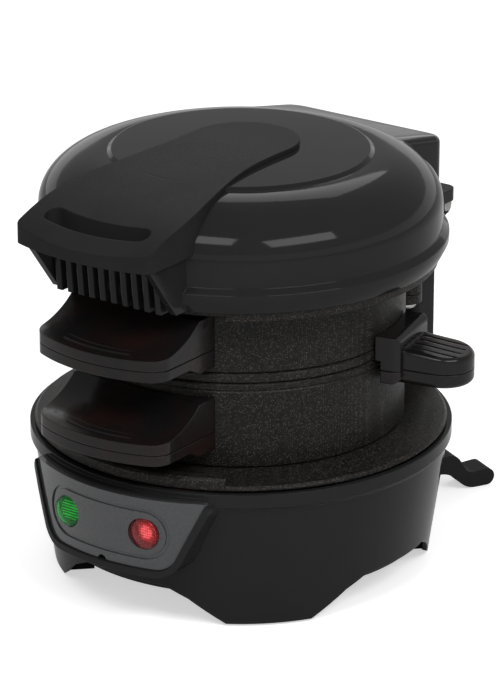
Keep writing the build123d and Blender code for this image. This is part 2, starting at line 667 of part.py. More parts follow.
def tower_ear():
    """Side ear that holds one end of the hinge pin."""
    root = TOWER_DECK - OVERRUN
    crest = HINGE_Z + KNUCKLE_RADIUS
    outline = [
        (TOWER_FRONT + EAR_ROOT_INSET, root), (TOWER_BACK, root),
        (TOWER_BACK, HINGE_Z - KNUCKLE_RADIUS), (HINGE_Y, HINGE_Z - KNUCKLE_RADIUS),
        (HINGE_Y, crest), (HINGE_Y - EAR_CREST_LEAD, crest - EAR_CREST_DROP)]
    ear = side_plate(outline, TOWER_EAR_INNER, TOWER_WIDTH / 2)
    return ear + rod_x(KNUCKLE_RADIUS, TOWER_EAR_INNER, TOWER_WIDTH / 2, HINGE_Y, HINGE_Z)


def hinge_tower():
    half = TOWER_WIDTH / 2
    column = block((-half, half), (TOWER_FRONT, TOWER_BACK), (BASE_RIM_HEIGHT, TOWER_DECK))
    column = fillet(column.edges().filter_by(Axis.Z), TOWER_CORNER)
    column += tower_spigot(0)
    column += mirrored(tower_ear())
    inner_y = (TOWER_FRONT + TOWER_WALL, TOWER_BACK - TOWER_WALL)
    column -= block((-half + TOWER_WALL, half - TOWER_WALL), inner_y,
                    (0, TOWER_DECK - TOWER_DECK_WALL))
    column -= block((-TOWER_WIRE_HOLE / 2, TOWER_WIRE_HOLE / 2), inner_y,
                    (TOWER_DECK - 2 * TOWER_DECK_WALL, TOWER_DECK + OVERRUN))
    return column - rod_x(PIN_RADIUS + PIN_CLEARANCE, -half - OVERRUN, half + OVERRUN, HINGE_Y, HINGE_Z)


def bottom_cover():
    flange = BASE_FOOT_RADIUS - BASE_WALL + COVER_OVERLAP
    low = COVER_BOTTOM - COVER_BOWL_DEPTH
    high = COVER_BOTTOM + COVER_THICKNESS
    floor = COVER_BOWL_RADIUS - COVER_BOWL_SLOPE
    cover = turned([
        (0, low), (floor, low), (COVER_BOWL_RADIUS, COVER_BOTTOM), (flange, COVER_BOTTOM),
        (flange, high), (COVER_BOWL_RADIUS - OVERRUN, high),
        (floor - OVERRUN, low + COVER_THICKNESS), (0, low + COVER_THICKNESS)])
    slot = extrude(SlotOverall(VENT_LENGTH, VENT_WIDTH), high)
    for index in range(VENT_COUNT):
        cover -= Rot(0, 0, index * 360 / VENT_COUNT) * Pos(VENT_RADIUS, 0, 0) * slot
    for angle in POST_ANGLES:
        cover -= Rot(0, 0, angle) * rod_z(SCREW_RADIUS + CURVED_FIT, 0, high + OVERRUN, POST_CENTRE_RADIUS)
    return cover


def stabiliser_outline():
    """Side view of a stabiliser leg, from its root to its round toe."""
    length = STABILISER_LENGTH
    top, low, tip = STABILISER_ROOT_TOP, STABILISER_ROOT_LOW, STABILISER_TIP_HEIGHT
    flat_end = (STABILISER_FLAT_PLACE * length, top)
    hump = (STABILISER_HUMP_PLACE * length, top + STABILISER_HUMP)
    dip = (STABILISER_DIP_PLACE * length, STABILISER_DIP)
    nose = length - tip / 2
    heel = (length - STABILISER_SOLE, 0)
    knee = (STABILISER_KNEE_PLACE * length, low)
    upper = Line((0, top), flat_end) + Spline(flat_end, hump, tangents=[(1, 0), (1, 0)])
    upper += Spline(hump, dip, tangents=[(1, 0), (1, 0)]) + Line(dip, (nose, tip))
    toe = ThreePointArc((nose, tip), (length, tip / 2), (nose, 0))
    under = Line((nose, 0), heel) + Spline(heel, knee, tangents=[(-1, 0), (-1, 0)])
    return make_face(upper + toe + under + Line(knee, (0, low)) + Line((0, low), (0, top)))


def rear_stabiliser():
    leg = extrude(Plane.XZ * stabiliser_outline(), STABILISER_WIDTH / 2, both=True)
    heading = math.degrees(math.atan2(STABILISER_RUN_Y, STABILISER_RUN_X))
    leg = Pos(STABILISER_ROOT_X, STABILISER_ROOT_Y, 0) * Rot(0, 0, heading) * leg
    half = STABILISER_BAR_WIDTH / 2
    depth = STABILISER_BAR_DEPTH / 2
    bar = block((-half, half), (STABILISER_ROOT_Y - depth, STABILISER_ROOT_Y + depth),
                (STABILISER_ROOT_LOW, STABILISER_ROOT_TOP))
    return mirrored(leg) + bar


def rubber_feet():
    pad = rod_z(PAD_RADIUS, 0, PAD_THICKNESS, FOOT_CENTRE_RADIUS)
    return [place * pad for place in foot_places()]


def stadium_groove():
    """Groove round both lamps in the face of the panel."""
    outer = SlotCenterToCenter(LAMP_SPACING, 2 * STADIUM_RADIUS)
    inner = SlotCenterToCenter(LAMP_SPACING, 2 * (STADIUM_RADIUS - STADIUM_GROOVE))
    ring = Plane.XZ * (outer - inner)
    ring = Pos(0, BEZEL_DEPTH - BEZEL_FRONT, LAMP_HEIGHT) * extrude(ring, BEZEL_DEPTH)
    return ring - bezel_drum(PANEL_SET_BACK + STADIUM_DEPTH)


def control_panel():
    sheet = bezel_drum(PANEL_SET_BACK) - bezel_drum(PANEL_SET_BACK + PANEL_THICKNESS)
    panel = bezel_prism(BEZEL_BAND + CURVED_FIT, BASE_RIM_HEIGHT - PANEL_TOP_DROP) & sheet
    panel -= lamp_cutters(LAMP_RADIUS + CURVED_FIT)
    panel -= stadium_groove()
    notch = rod_y(PRY_NOTCH_WIDTH / 2, -BEZEL_FRONT, BEZEL_DEPTH - BEZEL_FRONT, 0,
                  BEZEL_BOTTOM + BEZEL_BAND)
    return panel - notch


def lamp_front():
    """Depth at which a lamp meets the panel's face."""
    radius = BEZEL_RADIUS - PANEL_SET_BACK
    return BEZEL_CENTRE_Y - math.sqrt(radius ** 2 - (LAMP_SPACING / 2) ** 2)


def lamp(side):
    x = side * LAMP_SPACING / 2
    front = lamp_front()
    body = rod_y(LAMP_RADIUS, front, front + LAMP_DEPTH, x, LAMP_HEIGHT)
    ball_radius = (LAMP_RADIUS ** 2 + LAMP_DOME ** 2) / (2 * LAMP_DOME)
    ball = Pos(x, front - LAMP_DOME + ball_radius, LAMP_HEIGHT) * Sphere(ball_radius)
    dome = ball & rod_y(LAMP_RADIUS, front - LAMP_DOME - OVERRUN, front, x, LAMP_HEIGHT)
    return body + dome


def lamp_holders():
    back = lamp_front() + LAMP_DEPTH
    end = back + LAMP_HOLDER_LENGTH
    holders = []
    for side in (-1, 1):
        x = side * LAMP_SPACING / 2
        can = rod_y(LAMP_HOLDER_RADIUS, back, end, x, LAMP_HEIGHT)
        for pin_x in (x - LAMP_PIN_SPACING / 2, x + LAMP_PIN_SPACING / 2):
            can += rod_y(LAMP_PIN_RADIUS, end - OVERRUN, end + LAMP_PIN_LENGTH, pin_x, LAMP_HEIGHT)
        holders.append(can)
    return holders


def lower_heating_plate():
    lip, rim, ease = HEATER_LIP_INNER, HEATER_RIM_RADIUS, HEATER_EASE
    boss_top = HEATER_SEAT_TOP + HEATER_BOSS_RISE
    plate = turned([
        (0, HEATER_UNDERSIDE), (lip, HEATER_UNDERSIDE), (lip, BASE_RIM_HEIGHT),
        (rim - ease, BASE_RIM_HEIGHT), (rim, BASE_RIM_HEIGHT + ease), (rim, HEATER_RIM_TOP - ease),
        (rim - ease, HEATER_RIM_TOP), (lip - ease, HEATER_RIM_TOP),
        (RING_RADIUS + HEATER_SEAT_MARGIN, HEATER_SEAT_TOP),
        (HEATER_BOSS_RADIUS + HEATER_BOSS_SLOPE, HEATER_SEAT_TOP),
        (HEATER_BOSS_RADIUS, boss_top), (0, boss_top)])
    lip_top = HEATER_RIM_TOP + HEATER_LIP_RISE
    ridge = turned([
        (lip + ease, HEATER_RIM_TOP - ease), (rim, HEATER_RIM_TOP - ease), (rim, lip_top - ease),
        (rim - ease, lip_top), (lip + HEATER_LIP_SLOPE, lip_top)])
    plate += ridge & front_sector(HEATER_LIP_ANGLE, HEATER_RIM_TOP - 2 * ease, lip_top + OVERRUN)
    return plate - block((-rim, rim), (HEATER_CHORD_Y, HEATER_CHORD_Y + rim),
                         (HEATER_UNDERSIDE - OVERRUN, HEATER_RIM_TOP + OVERRUN))


def element_pin_places():
    """The two ends of a heating element, seen from above."""
    start = (360 - ELEMENT_ANGLE) / 2 + 90
    angles = (start + ELEMENT_PIN_INSET, start + ELEMENT_ANGLE - ELEMENT_PIN_INSET)
    return [(ELEMENT_RADIUS * math.cos(math.radians(angle)),
             ELEMENT_RADIUS * math.sin(math.radians(angle))) for angle in angles]


def element(height, pin_direction):
    """Sheathed heating tube bent into an open circle, with its two pins."""
    tube_face = Plane.XZ * Pos(ELEMENT_RADIUS, height) * Circle(ELEMENT_TUBE)
    start = (360 - ELEMENT_ANGLE) / 2 + 90
    tube = Rot(0, 0, start) * revolve(tube_face, Axis.Z, ELEMENT_ANGLE)
    far = height + pin_direction * (ELEMENT_TUBE + ELEMENT_PIN_LENGTH)
    for x, y in element_pin_places():
        tube += rod_z(ELEMENT_PIN_RADIUS, min(height, far), max(height, far), x, y)
    return tube


def heat_shield():
    inner = SHIELD_RADIUS - SHIELD_WALL
    floor_top = SHIELD_FLOOR + SHIELD_WALL
    pan = turned([
        (0, SHIELD_FLOOR), (SHIELD_RADIUS, SHIELD_FLOOR), (SHIELD_RADIUS, HEATER_UNDERSIDE),
        (inner, HEATER_UNDERSIDE), (inner, floor_top), (0, floor_top)])
    for x, y in element_pin_places():
        pan -= rod_z(ELEMENT_PIN_RADIUS + SHIELD_PIN_GAP, SHIELD_FLOOR - OVERRUN,
                     floor_top + OVERRUN, x, y)
    return pan


def thermostat():
    floor = SHIELD_FLOOR + SHIELD_WALL
    low = floor + THERMOSTAT_TAB_RISE
    length, width = THERMOSTAT_TAB_LENGTH / 2, THERMOSTAT_TAB_WIDTH / 2
    tab = block((-length, length), (-width, width), (low, low + THERMOSTAT_TAB_THICKNESS))
    return rod_z(THERMOSTAT_RADIUS, floor, HEATER_UNDERSIDE) + tab


def thermal_fuse():
    z = HEATER_UNDERSIDE - FUSE_RADIUS - CURVED_FIT
    body = rod_x(FUSE_RADIUS, -FUSE_LENGTH / 2, FUSE_LENGTH / 2, -FUSE_OFFSET, z)
    return body + rod_x(FUSE_WIRE_RADIUS, -FUSE_WIRE_LENGTH / 2, FUSE_WIRE_LENGTH / 2, -FUSE_OFFSET, z)


def terminal_block():
    floor = COVER_BOTTOM - COVER_BOWL_DEPTH + COVER_THICKNESS
    top = floor + TERMINAL_HEIGHT
    half = TERMINAL_WIDTH / 2
    y = (TERMINAL_PLACE - TERMINAL_DEPTH / 2, TERMINAL_PLACE + TERMINAL_DEPTH / 2)
    body = block((-half, half), y, (floor, top))
    for step in (-TERMINAL_PITCH, 0, TERMINAL_PITCH):
        body -= rod_z(TERMINAL_HOLE, floor + TERMINAL_HEIGHT / 2, top + OVERRUN, step, TERMINAL_PLACE)
    for x in (-TERMINAL_PITCH / 2, TERMINAL_PITCH / 2):
        body += block((x - TERMINAL_FIN / 2, x + TERMINAL_FIN / 2), y,
                      (top - OVERRUN, top + TERMINAL_FIN_RISE))
    return body


def cord_gland():
    outside = TOWER_BACK
    gland = rod_y(GLAND_RADIUS, outside, outside + GLAND_FLANGE, 0, GLAND_HEIGHT)
    gland += rod_y(GLAND_STEM_RADIUS, outside - BASE_WALL - GLAND_INSIDE, outside + GLAND_LENGTH,
                   0, GLAND_HEIGHT)
    return gland - rod_y(GLAND_BORE, outside - 2 * GLAND_LENGTH, outside + 2 * GLAND_LENGTH,
                         0, GLAND_HEIGHT)


def upward_screw(x, y, head_z, length):
    """Screw whose head faces down."""
    head = rod_z(SCREW_HEAD_RADIUS, head_z - SCREW_HEAD_HEIGHT, head_z, x, y)
    return head + rod_z(SCREW_RADIUS - CURVED_FIT, head_z, head_z + length, x, y)


def base_screws():
    screw = upward_screw(POST_CENTRE_RADIUS, 0, COVER_BOTTOM, BASE_SCREW_LENGTH)
    return [Rot(0, 0, angle) * screw for angle in POST_ANGLES]


def hinge_pin():
    reach = TOWER_WIDTH / 2 + CLIP_GAP + CLIP_THICKNESS + PIN_END
    return rod_x(PIN_RADIUS, -reach, reach, HINGE_Y, HINGE_Z)


def pin_clips():
    inner = TOWER_WIDTH / 2 + CLIP_GAP
    outer = inner + CLIP_THICKNESS
    clips = []
    for low, high in ((inner, outer), (-outer, -inner)):
        clip = rod_x(CLIP_RADIUS, low, high, HINGE_Y, HINGE_Z)
        clip -= rod_x(PIN_RADIUS, low - OVERRUN, high + OVERRUN, HINGE_Y, HINGE_Z)
        clips.append(clip)
    return clips


def ring_wall(bottom, top):
    inner, outer, ease = RING_BORE, RING_RADIUS, RING_EASE
    bead = top - RING_BEAD_DROP
    return turned([
        (inner, bottom + ease), (inner + ease, bottom), (outer - ease, bottom),
        (outer, bottom + ease), (outer, bead - ease), (outer - RING_BEAD_DEPTH, bead),
        (outer, bead + ease), (outer, top - ease), (outer - ease, top), (inner + ease, top),
        (inner, top - ease)])


def handle_tang(parting):
    """Metal tongue of a ring that its handle is screwed to."""
    half = HANDLE_TANG_WIDTH / 2
    low, high = parting - HANDLE_TANG_THICKNESS / 2, parting + HANDLE_TANG_THICKNESS / 2
    tang = block((-half, half), (-HANDLE_TANG_END, -RING_BORE * math.cos(math.asin(half / RING_BORE))),
                 (low, high))
    tang -= rod_z(RING_BORE, low - OVERRUN, high + OVERRUN)
    hole = rod_z(SCREW_RADIUS, low - OVERRUN, high + OVERRUN, HANDLE_SCREW_SPACING / 2, -HANDLE_SCREW_Y)
    return tang - mirrored(hole)


def arm_outline(bottom):
    """Side view of a hinge arm, from its ring up and back to the pin."""
    neck = KNUCKLE_RADIUS - ARM_NECK
    return [
        (ARM_FRONT, bottom), (ARM_BACK, bottom), (ARM_BACK, TOWER_DECK - ARM_BEND_DROP),
        (TOWER_FRONT - ARM_BEND_LEAD, TOWER_DECK + ARM_BEND_CLEARANCE),
        (HINGE_Y - ARM_NECK_LEAD, HINGE_Z - neck), (HINGE_Y, HINGE_Z),
        (HINGE_Y - ARM_NECK_LEAD, HINGE_Z + neck),
        (TOWER_FRONT + ARM_CREST_PLACE, HINGE_Z - ARM_CREST_DROP),
        (TOWER_FRONT - ARM_BROW_PLACE, HINGE_Z - ARM_BROW_DROP),
        (ARM_FRONT, TOWER_DECK + ARM_SHOULDER_RISE)]


def hinge_arm(outer, width, pad, spots):
    """Fork that joins a ring to the hinge pin."""
    low, high = pad
    bar = side_plate(arm_outline(low), outer - width, outer)
    bar += rod_x(KNUCKLE_RADIUS, outer - width, outer, HINGE_Y, HINGE_Z)
    arm = mirrored(bar)
    arm += block((-outer, outer), (RING_BORE, ARM_BACK), (low, high))
    arm -= rod_z(RING_RADIUS + CURVED_FIT, low - OVERRUN, high + OVERRUN)
    arm -= rivet_holes(spots)
    return arm - rod_x(PIN_RADIUS + PIN_CLEARANCE, -outer - OVERRUN, outer + OVERRUN, HINGE_Y, HINGE_Z)


def rivet_holes(spots):
    front = RING_BORE - RIVET_HOLE_MARGIN
    holes = [rod_y(RIVET_RADIUS + CURVED_FIT, front, ARM_BACK + OVERRUN, x, z) for x, z in spots]
    return holes[0] + holes[1]


def rivets(spots):
    made = []
    for x, z in spots:
        start = math.sqrt(RING_BORE ** 2 - x ** 2) + RIVET_SET_IN
        shank = rod_y(RIVET_RADIUS, start, ARM_BACK, x, z)
        head = rod_y(RIVET_RADIUS + RIVET_HEAD_MARGIN, ARM_BACK, ARM_BACK + RIVET_HEAD_HEIGHT, x, z)
        made.append(shank + head)
    return made


def lower_ring():
    ring = ring_wall(LOWER_RING_BOTTOM, LOWER_RING_TOP) + handle_tang(HANDLE_LOWER_PARTING)
    return ring - rivet_holes(LOWER_RIVETS)


def pivot_boss():
    """Boss on the outside of the upper ring that the plate turns under."""
    boss = rod_z(PIVOT_BOSS_RADIUS, UPPER_RING_BOTTOM, PIVOT_BOSS_TOP, PIVOT_X, PIVOT_Y)
    boss = fillet(boss.edges().sort_by(Axis.Z)[-1], PIVOT_BOSS_ROUNDING)
    half = PIVOT_WEB_WIDTH / 2
    web = block((RING_RADIUS - RING_WALL, PIVOT_RADIUS), (-half, half),
                (UPPER_RING_BOTTOM, PIVOT_BOSS_TOP - PIVOT_WEB_DROP))
    boss += Rot(0, 0, PIVOT_ANGLE) * web
    return boss - rod_z(RING_RADIUS - RING_WALL / 2, UPPER_RING_BOTTOM - OVERRUN, UPPER_RING_TOP)


def upper_ring():
    ring = ring_wall(UPPER_RING_BOTTOM, UPPER_RING_TOP) + handle_tang(HANDLE_UPPER_PARTING)
    ring += pivot_boss()
    ring -= rod_z(PIVOT_PIN_RADIUS, UPPER_RING_BOTTOM - OVERRUN, PIVOT_PIN_TOP, PIVOT_X, PIVOT_Y)
    return ring - rivet_holes(UPPER_RIVETS)


def plate_pivot_pin():
    head_top = PLATE_BOTTOM - REST_GAP
    pin = rod_z(PIVOT_PIN_RADIUS, head_top, PIVOT_PIN_TOP, PIVOT_X, PIVOT_Y)
    return pin + rod_z(PIVOT_HEAD_RADIUS, head_top - PIVOT_HEAD_HEIGHT, head_top, PIVOT_X, PIVOT_Y)


def handle_plan(back):
    """Plan of a ring handle: straight sides, bowed front, open back."""
    half = HANDLE_WIDTH / 2
    corner_y = -HANDLE_FRONT + HANDLE_FRONT_RADIUS - math.sqrt(HANDLE_FRONT_RADIUS ** 2 - half ** 2)
    outline = Polyline((-half, corner_y), (-half, back), (half, back), (half, corner_y))
    outline += ThreePointArc((half, corner_y), (0, -HANDLE_FRONT), (-half, corner_y))
    face = make_face(outline)
    return fillet(face.vertices().sort_by(Axis.Y)[:2], HANDLE_CORNER)


def handle_profile(parting, back):
    """Side view of a ring handle: tall root, concave cove, thin grip."""
    front = -HANDLE_FRONT - OVERRUN
    root = -RING_RADIUS - HANDLE_ROOT_DEPTH
    low, high = parting - HANDLE_ROOT_DROP, parting + HANDLE_ROOT_RISE
    grip_top, grip_low = parting + HANDLE_GRIP_RISE, parting - HANDLE_GRIP_DROP
    chin = root - HANDLE_CHIN
    cove_end = (root - HANDLE_COVE, grip_top + HANDLE_COVE_RISE)
    top = Line((back, high), (root, high)) + Spline(
        (root, high), cove_end, (front, grip_top), tangents=[(-1, -1), (-1, 0)])
    rest = Polyline((front, grip_top), (front, grip_low), (chin, grip_low), (root, low), (back, low),
                    (back, high))
    return Plane.YZ * make_face(top + rest)


def handle_block(parting):
    """Whole ring handle before it is split into halves."""
    root = RING_RADIUS + CURVED_FIT
    half = HANDLE_WIDTH / 2
    back = -math.sqrt(root ** 2 - half ** 2) + OVERRUN
    low, high = parting - HANDLE_ROOT_DROP, parting + HANDLE_ROOT_RISE
    body = extrude(handle_profile(parting, back), half, both=True)
    body &= Pos(0, 0, low) * extrude(handle_plan(back), high - low)
    body -= rod_z(root, low - OVERRUN, high + OVERRUN)
    return body


def handle_halves(parting):
    body = handle_block(parting)
    tang = HANDLE_TANG_THICKNESS / 2 + REST_GAP
    half_tang = HANDLE_TANG_WIDTH / 2 + REST_GAP
    body -= block((-half_tang, half_tang), (-HANDLE_TANG_END - OVERRUN, 0),
                  (parting - tang, parting + tang))
    reach = HANDLE_FRONT + OVERRUN
    parting_top, parting_low = parting + REST_GAP / 2, parting - REST_GAP / 2
    high, low = parting + HANDLE_ROOT_RISE + OVERRUN, parting - HANDLE_ROOT_DROP - OVERRUN
    top = body & block((-reach, reach), (-reach, 0), (parting_top, high))
    bottom = body & block((-reach, reach), (-reach, 0), (low, parting_low))
    centre = HANDLE_FRONT_RADIUS - HANDLE_FRONT
    surface = parting + HANDLE_GRIP_RISE
    for inset, angle in HANDLE_RIDGES:
        top += arc_bar(HANDLE_FRONT_RADIUS - inset, HANDLE_RIDGE_WIDTH, angle, surface - OVERRUN,
                       surface + HANDLE_RIDGE_HEIGHT, centre)
    hole_x = HANDLE_SCREW_SPACING / 2
    screw_top = parting + HANDLE_GRIP_RISE
    top -= mirrored(rod_z(SCREW_RADIUS, parting, screw_top, hole_x, -HANDLE_SCREW_Y))
    bottom -= mirrored(rod_z(SCREW_RADIUS, low, parting, hole_x, -HANDLE_SCREW_Y))
    head_top = parting - HANDLE_GRIP_DROP + SCREW_HEAD_HEIGHT
    bottom -= mirrored(rod_z(SCREW_HEAD_RADIUS + CURVED_FIT, low, head_top, hole_x, -HANDLE_SCREW_Y))
    return top, bottom


def handle_screws(parting):
    head_z = parting - HANDLE_GRIP_DROP + SCREW_HEAD_HEIGHT
    return [upward_screw(side * HANDLE_SCREW_SPACING / 2, -HANDLE_SCREW_Y, head_z, HANDLE_SCREW_LENGTH)
            for side in (-1, 1)]


def lever_tang():
    """Stepped tongue of the cooking plate that the lever is screwed to."""
    half = LEVER_TANG_WIDTH / 2
    root = block((RING_RADIUS - LEVER_TANG_ROOT, RING_RADIUS + LEVER_TANG_ROOT), (-half, half),
                 (PLATE_BOTTOM, PLATE_TOP))
    blade = block((RING_RADIUS + LEVER_GAP, LEVER_TANG_END), (-half, half),
                  (LEVER_TANG_BOTTOM, LEVER_TANG_TOP))
    hole = rod_z(SCREW_RADIUS, LEVER_TANG_BOTTOM - OVERRUN, LEVER_TANG_TOP + OVERRUN, LEVER_SCREW_X)
    return root + blade - hole


def cooking_plate():
    ease = RING_EASE
    dish = RING_RADIUS - PLATE_DISH_INSET
    dish_floor = PLATE_TOP - PLATE_DISH_DEPTH
    plate = turned([
        (0, PLATE_BOTTOM), (RING_RADIUS - ease, PLATE_BOTTOM), (RING_RADIUS, PLATE_BOTTOM + ease),
        (RING_RADIUS, PLATE_TOP - ease), (RING_RADIUS - ease, PLATE_TOP), (dish, PLATE_TOP),
        (dish - PLATE_DISH_SLOPE, dish_floor), (0, dish_floor)])
    plate += rod_z(PIVOT_BOSS_RADIUS, PLATE_BOTTOM, PLATE_TOP, PIVOT_X, PIVOT_Y)
    half = PIVOT_BOSS_RADIUS - PIVOT_NECK_INSET
    plate += Rot(0, 0, PIVOT_ANGLE) * block(
        (RING_RADIUS - PIVOT_BOSS_RADIUS, PIVOT_RADIUS), (-half, half), (PLATE_BOTTOM, PLATE_TOP))
    plate -= rod_z(PIVOT_PIN_RADIUS + PIN_CLEARANCE, PLATE_BOTTOM - OVERRUN, PLATE_TOP + OVERRUN,
                   PIVOT_X, PIVOT_Y)
    return plate + Rot(0, 0, LEVER_ANGLE) * lever_tang()


def lever_blade():
    """Flat grip of the lever with a round end, along +X."""
    half = LEVER_WIDTH / 2
    centre = LEVER_TIP_CENTRE
    plan = make_face(
        Line((RING_BORE, -half), (centre, -half))
        + ThreePointArc((centre, -half), (LEVER_REACH, 0), (centre, half))
        + Line((centre, half), (RING_BORE, half)) + Line((RING_BORE, half), (RING_BORE, -half)))
    blade = Pos(0, 0, LEVER_BOTTOM) * extrude(plan, LEVER_DEPTH)
    falling = Plane.XZ * make_face(Polyline(
        (RING_BORE, LEVER_BOTTOM), (LEVER_REACH, LEVER_BOTTOM), (LEVER_REACH, LEVER_TOP - LEVER_FALL),
        (LEVER_ROOT + LEVER_ROOT_DEPTH, LEVER_TOP), (RING_BORE, LEVER_TOP), close=True))
    blade &= extrude(falling, LEVER_WIDTH, both=True)
    rims = blade.edges().filter_by(lambda e: e.center().X > RING_BORE + OVERRUN)
    rims = rims.filter_by(lambda e: abs(e.bounding_box().size.Z) < LEVER_FALL + OVERRUN)
    rims = rims.filter_by(lambda e: e.bounding_box().size.X > OVERRUN)
    return fillet(rims, LEVER_ROUNDING)


def lever_root():
    """Rounded block of the lever that stands against the rings."""
    half = LEVER_ROOT_WIDTH / 2
    body = block((RING_BORE, LEVER_ROOT + LEVER_ROOT_DEPTH), (-half, half),
                 (LEVER_ROOT_BOTTOM, LEVER_ROOT_TOP))
    front = body.edges().filter_by(lambda e: e.center().X > LEVER_ROOT + LEVER_ROOT_DEPTH / 2)
    return fillet(front, LEVER_ROOT_ROUNDING)


def lever_block():
    """Whole plate lever along +X, before it is split and turned to its place."""
    body = lever_blade() + lever_root()
    body -= rod_z(LEVER_ROOT, LEVER_BOTTOM - OVERRUN, LEVER_ROOT_TOP + OVERRUN)
    return body - rod_z(RING_RADIUS + LIFT_GAP, LEVER_BOTTOM - OVERRUN, PLATE_BOTTOM)


def lever_halves():
    body = lever_block()
    half = LEVER_TANG_WIDTH / 2 + REST_GAP
    body -= block((RING_BORE, LEVER_TANG_END + REST_GAP), (-half, half),
                  (LEVER_TANG_BOTTOM - REST_GAP, LEVER_TANG_TOP + REST_GAP))
    body -= block((RING_BORE, RING_RADIUS + LEVER_TANG_ROOT + REST_GAP), (-half, half),
                  (LEVER_TANG_BOTTOM, PLATE_TOP + REST_GAP))
    groove_x = LEVER_TIP_CENTRE - LEVER_GROOVE_SETBACK
    groove = extrude(SlotOverall(LEVER_GROOVE_LENGTH, LEVER_GROOVE_WIDTH), LEVER_FALL + OVERRUN)
    for index in range(LEVER_GROOVES):
        y = (index - (LEVER_GROOVES - 1) / 2) * LEVER_GROOVE_PITCH
        body -= Pos(groove_x, y, LEVER_TOP - LEVER_FALL / 2 - LEVER_GROOVE_DEPTH) * groove
    low, high = LEVER_BOTTOM - OVERRUN, LEVER_ROOT_TOP + OVERRUN
    body -= rod_z(SCREW_RADIUS, low, LEVER_TANG_TOP, LEVER_SCREW_X)
    body -= rod_z(SCREW_HEAD_RADIUS + CURVED_FIT, low, LEVER_BOTTOM + SCREW_HEAD_HEIGHT, LEVER_SCREW_X)
    y = (-LEVER_ROOT_WIDTH, LEVER_ROOT_WIDTH)
    x = (0, LEVER_REACH + OVERRUN)
    top = body & block(x, y, (LEVER_PARTING + REST_GAP / 2, high))
    bottom = body & block(x, y, (low, LEVER_PARTING - REST_GAP / 2))
    turn = Rot(0, 0, LEVER_ANGLE)
    return turn * top, turn * bottom


def lever_screw():
    screw = upward_screw(LEVER_SCREW_X, 0, LEVER_BOTTOM + SCREW_HEAD_HEIGHT, LEVER_SCREW_LENGTH)
    return Rot(0, 0, LEVER_ANGLE) * screw


def dome_face(edge, low, inset, side):
    """Half section of the lid's dome, closed by the given side line."""
    width = edge - LID_DISC_RADIUS
    rise = LID_DISC_HEIGHT - LID_SIDE_TOP - inset
    shoulder = EllipticalCenterArc((LID_DISC_RADIUS, LID_SIDE_TOP), width, rise, 0, arc_size=90)
    crown = Polyline(
        (LID_DISC_RADIUS, LID_DISC_HEIGHT - inset), (LID_CROWN_RADIUS, LID_CROWN_HEIGHT - inset),
        (0, LID_TOP_HEIGHT - inset), (0, low))
    return make_face(side + shoulder + crown)


def dome():
    """Domed body of the lid with the flange round its edge."""
    edge, low = LID_EDGE_RADIUS, LID_EDGE_HEIGHT
    side = Polyline(
        (0, low), (edge, low), (LID_FLANGE_RADIUS, LID_FLANGE_LOW), (LID_FLANGE_RADIUS, LID_FLANGE_HIGH),
        (edge, LID_FLANGE_HIGH + LID_FLANGE_BEVEL), (edge, LID_SIDE_TOP))
    return revolve(Plane.XZ * dome_face(edge, low, 0, side), Axis.Z)


def dome_hollow():
    """Inside of the lid's dome."""
    edge, low = LID_EDGE_RADIUS - LID_WALL, LID_EDGE_HEIGHT - OVERRUN
    side = Polyline((0, low), (edge, low), (edge, LID_SIDE_TOP))
    return revolve(Plane.XZ * dome_face(edge, low, LID_WALL, side), Axis.Z)


def hood_block(inset, z_low):
    """Raised box at the back of the lid, over the hinge."""
    half = HOOD_WIDTH / 2 - inset
    front = HOOD_START - LID_STEP_SLOPE
    back = HOOD_BACK - inset
    top_front, top_back = HOOD_TOP_FRONT - inset, HOOD_TOP_BACK - inset
    body = side_plate([(front, z_low), (front, top_front), (HOOD_START, top_front), (back, top_back),
                       (back, z_low)], -half, half)
    uprights = body.edges().filter_by(Axis.Z).sort_by(Axis.Y)[-2:]
    body = fillet(uprights, HOOD_CORNER - inset)
    rims = body.edges().filter_by(lambda e: e.center().Z > z_low + OVERRUN)
    rims = rims.filter_by(lambda e: e.center().Y > HOOD_START + OVERRUN)
    rims = rims.filter_by(Axis.Z, reverse=True)
    return fillet(rims, HOOD_ROUNDING - inset)


def ledge():
    half = LEDGE_WIDTH / 2
    body = block((-half, half), (HOOD_START, LEDGE_BACK), (LEDGE_BOTTOM, LID_FLANGE_HIGH))
    return fillet(body.edges().filter_by(Axis.Z).sort_by(Axis.Y)[-2:], LEDGE_CORNER)


def cheeks_and_ribs():
    """Side walls and upright ribs under the lid's grip."""
    inside = -LID_EDGE_RADIUS + LID_RIB_ROOT
    low = LID_EDGE_HEIGHT + CHEEK_BOTTOM_RISE
    outer = GRIP_WIDTH / 2 - CHEEK_INSET
    cheek = side_plate([
        (inside, low), (-LID_EDGE_RADIUS - CHEEK_BOTTOM_PROUD, low),
        (-LID_EDGE_RADIUS - CHEEK_TOP_PROUD, GRIP_UNDERSIDE), (inside, GRIP_UNDERSIDE)],
        outer - CHEEK_THICKNESS, outer)
    body = mirrored(cheek)
    rib_outline = [
        (inside, low), (-LID_EDGE_RADIUS - RIB_BOTTOM_PROUD, low),
        (-LID_EDGE_RADIUS - RIB_TOP_PROUD, GRIP_UNDERSIDE), (inside, GRIP_UNDERSIDE)]
    for index in range(RIB_COUNT):
        x = (index - (RIB_COUNT - 1) / 2) * RIB_PITCH
        body += side_plate(rib_outline, x - RIB_WIDTH / 2, x + RIB_WIDTH / 2)
    return body


def bracket_posts():
    post = rod_z(BRACKET_POST_RADIUS, BRACKET_TOP, HOOD_TOP_FRONT, BRACKET_SCREW_SPACING / 2,
                 BRACKET_SCREW_Y)
    return mirrored(post)


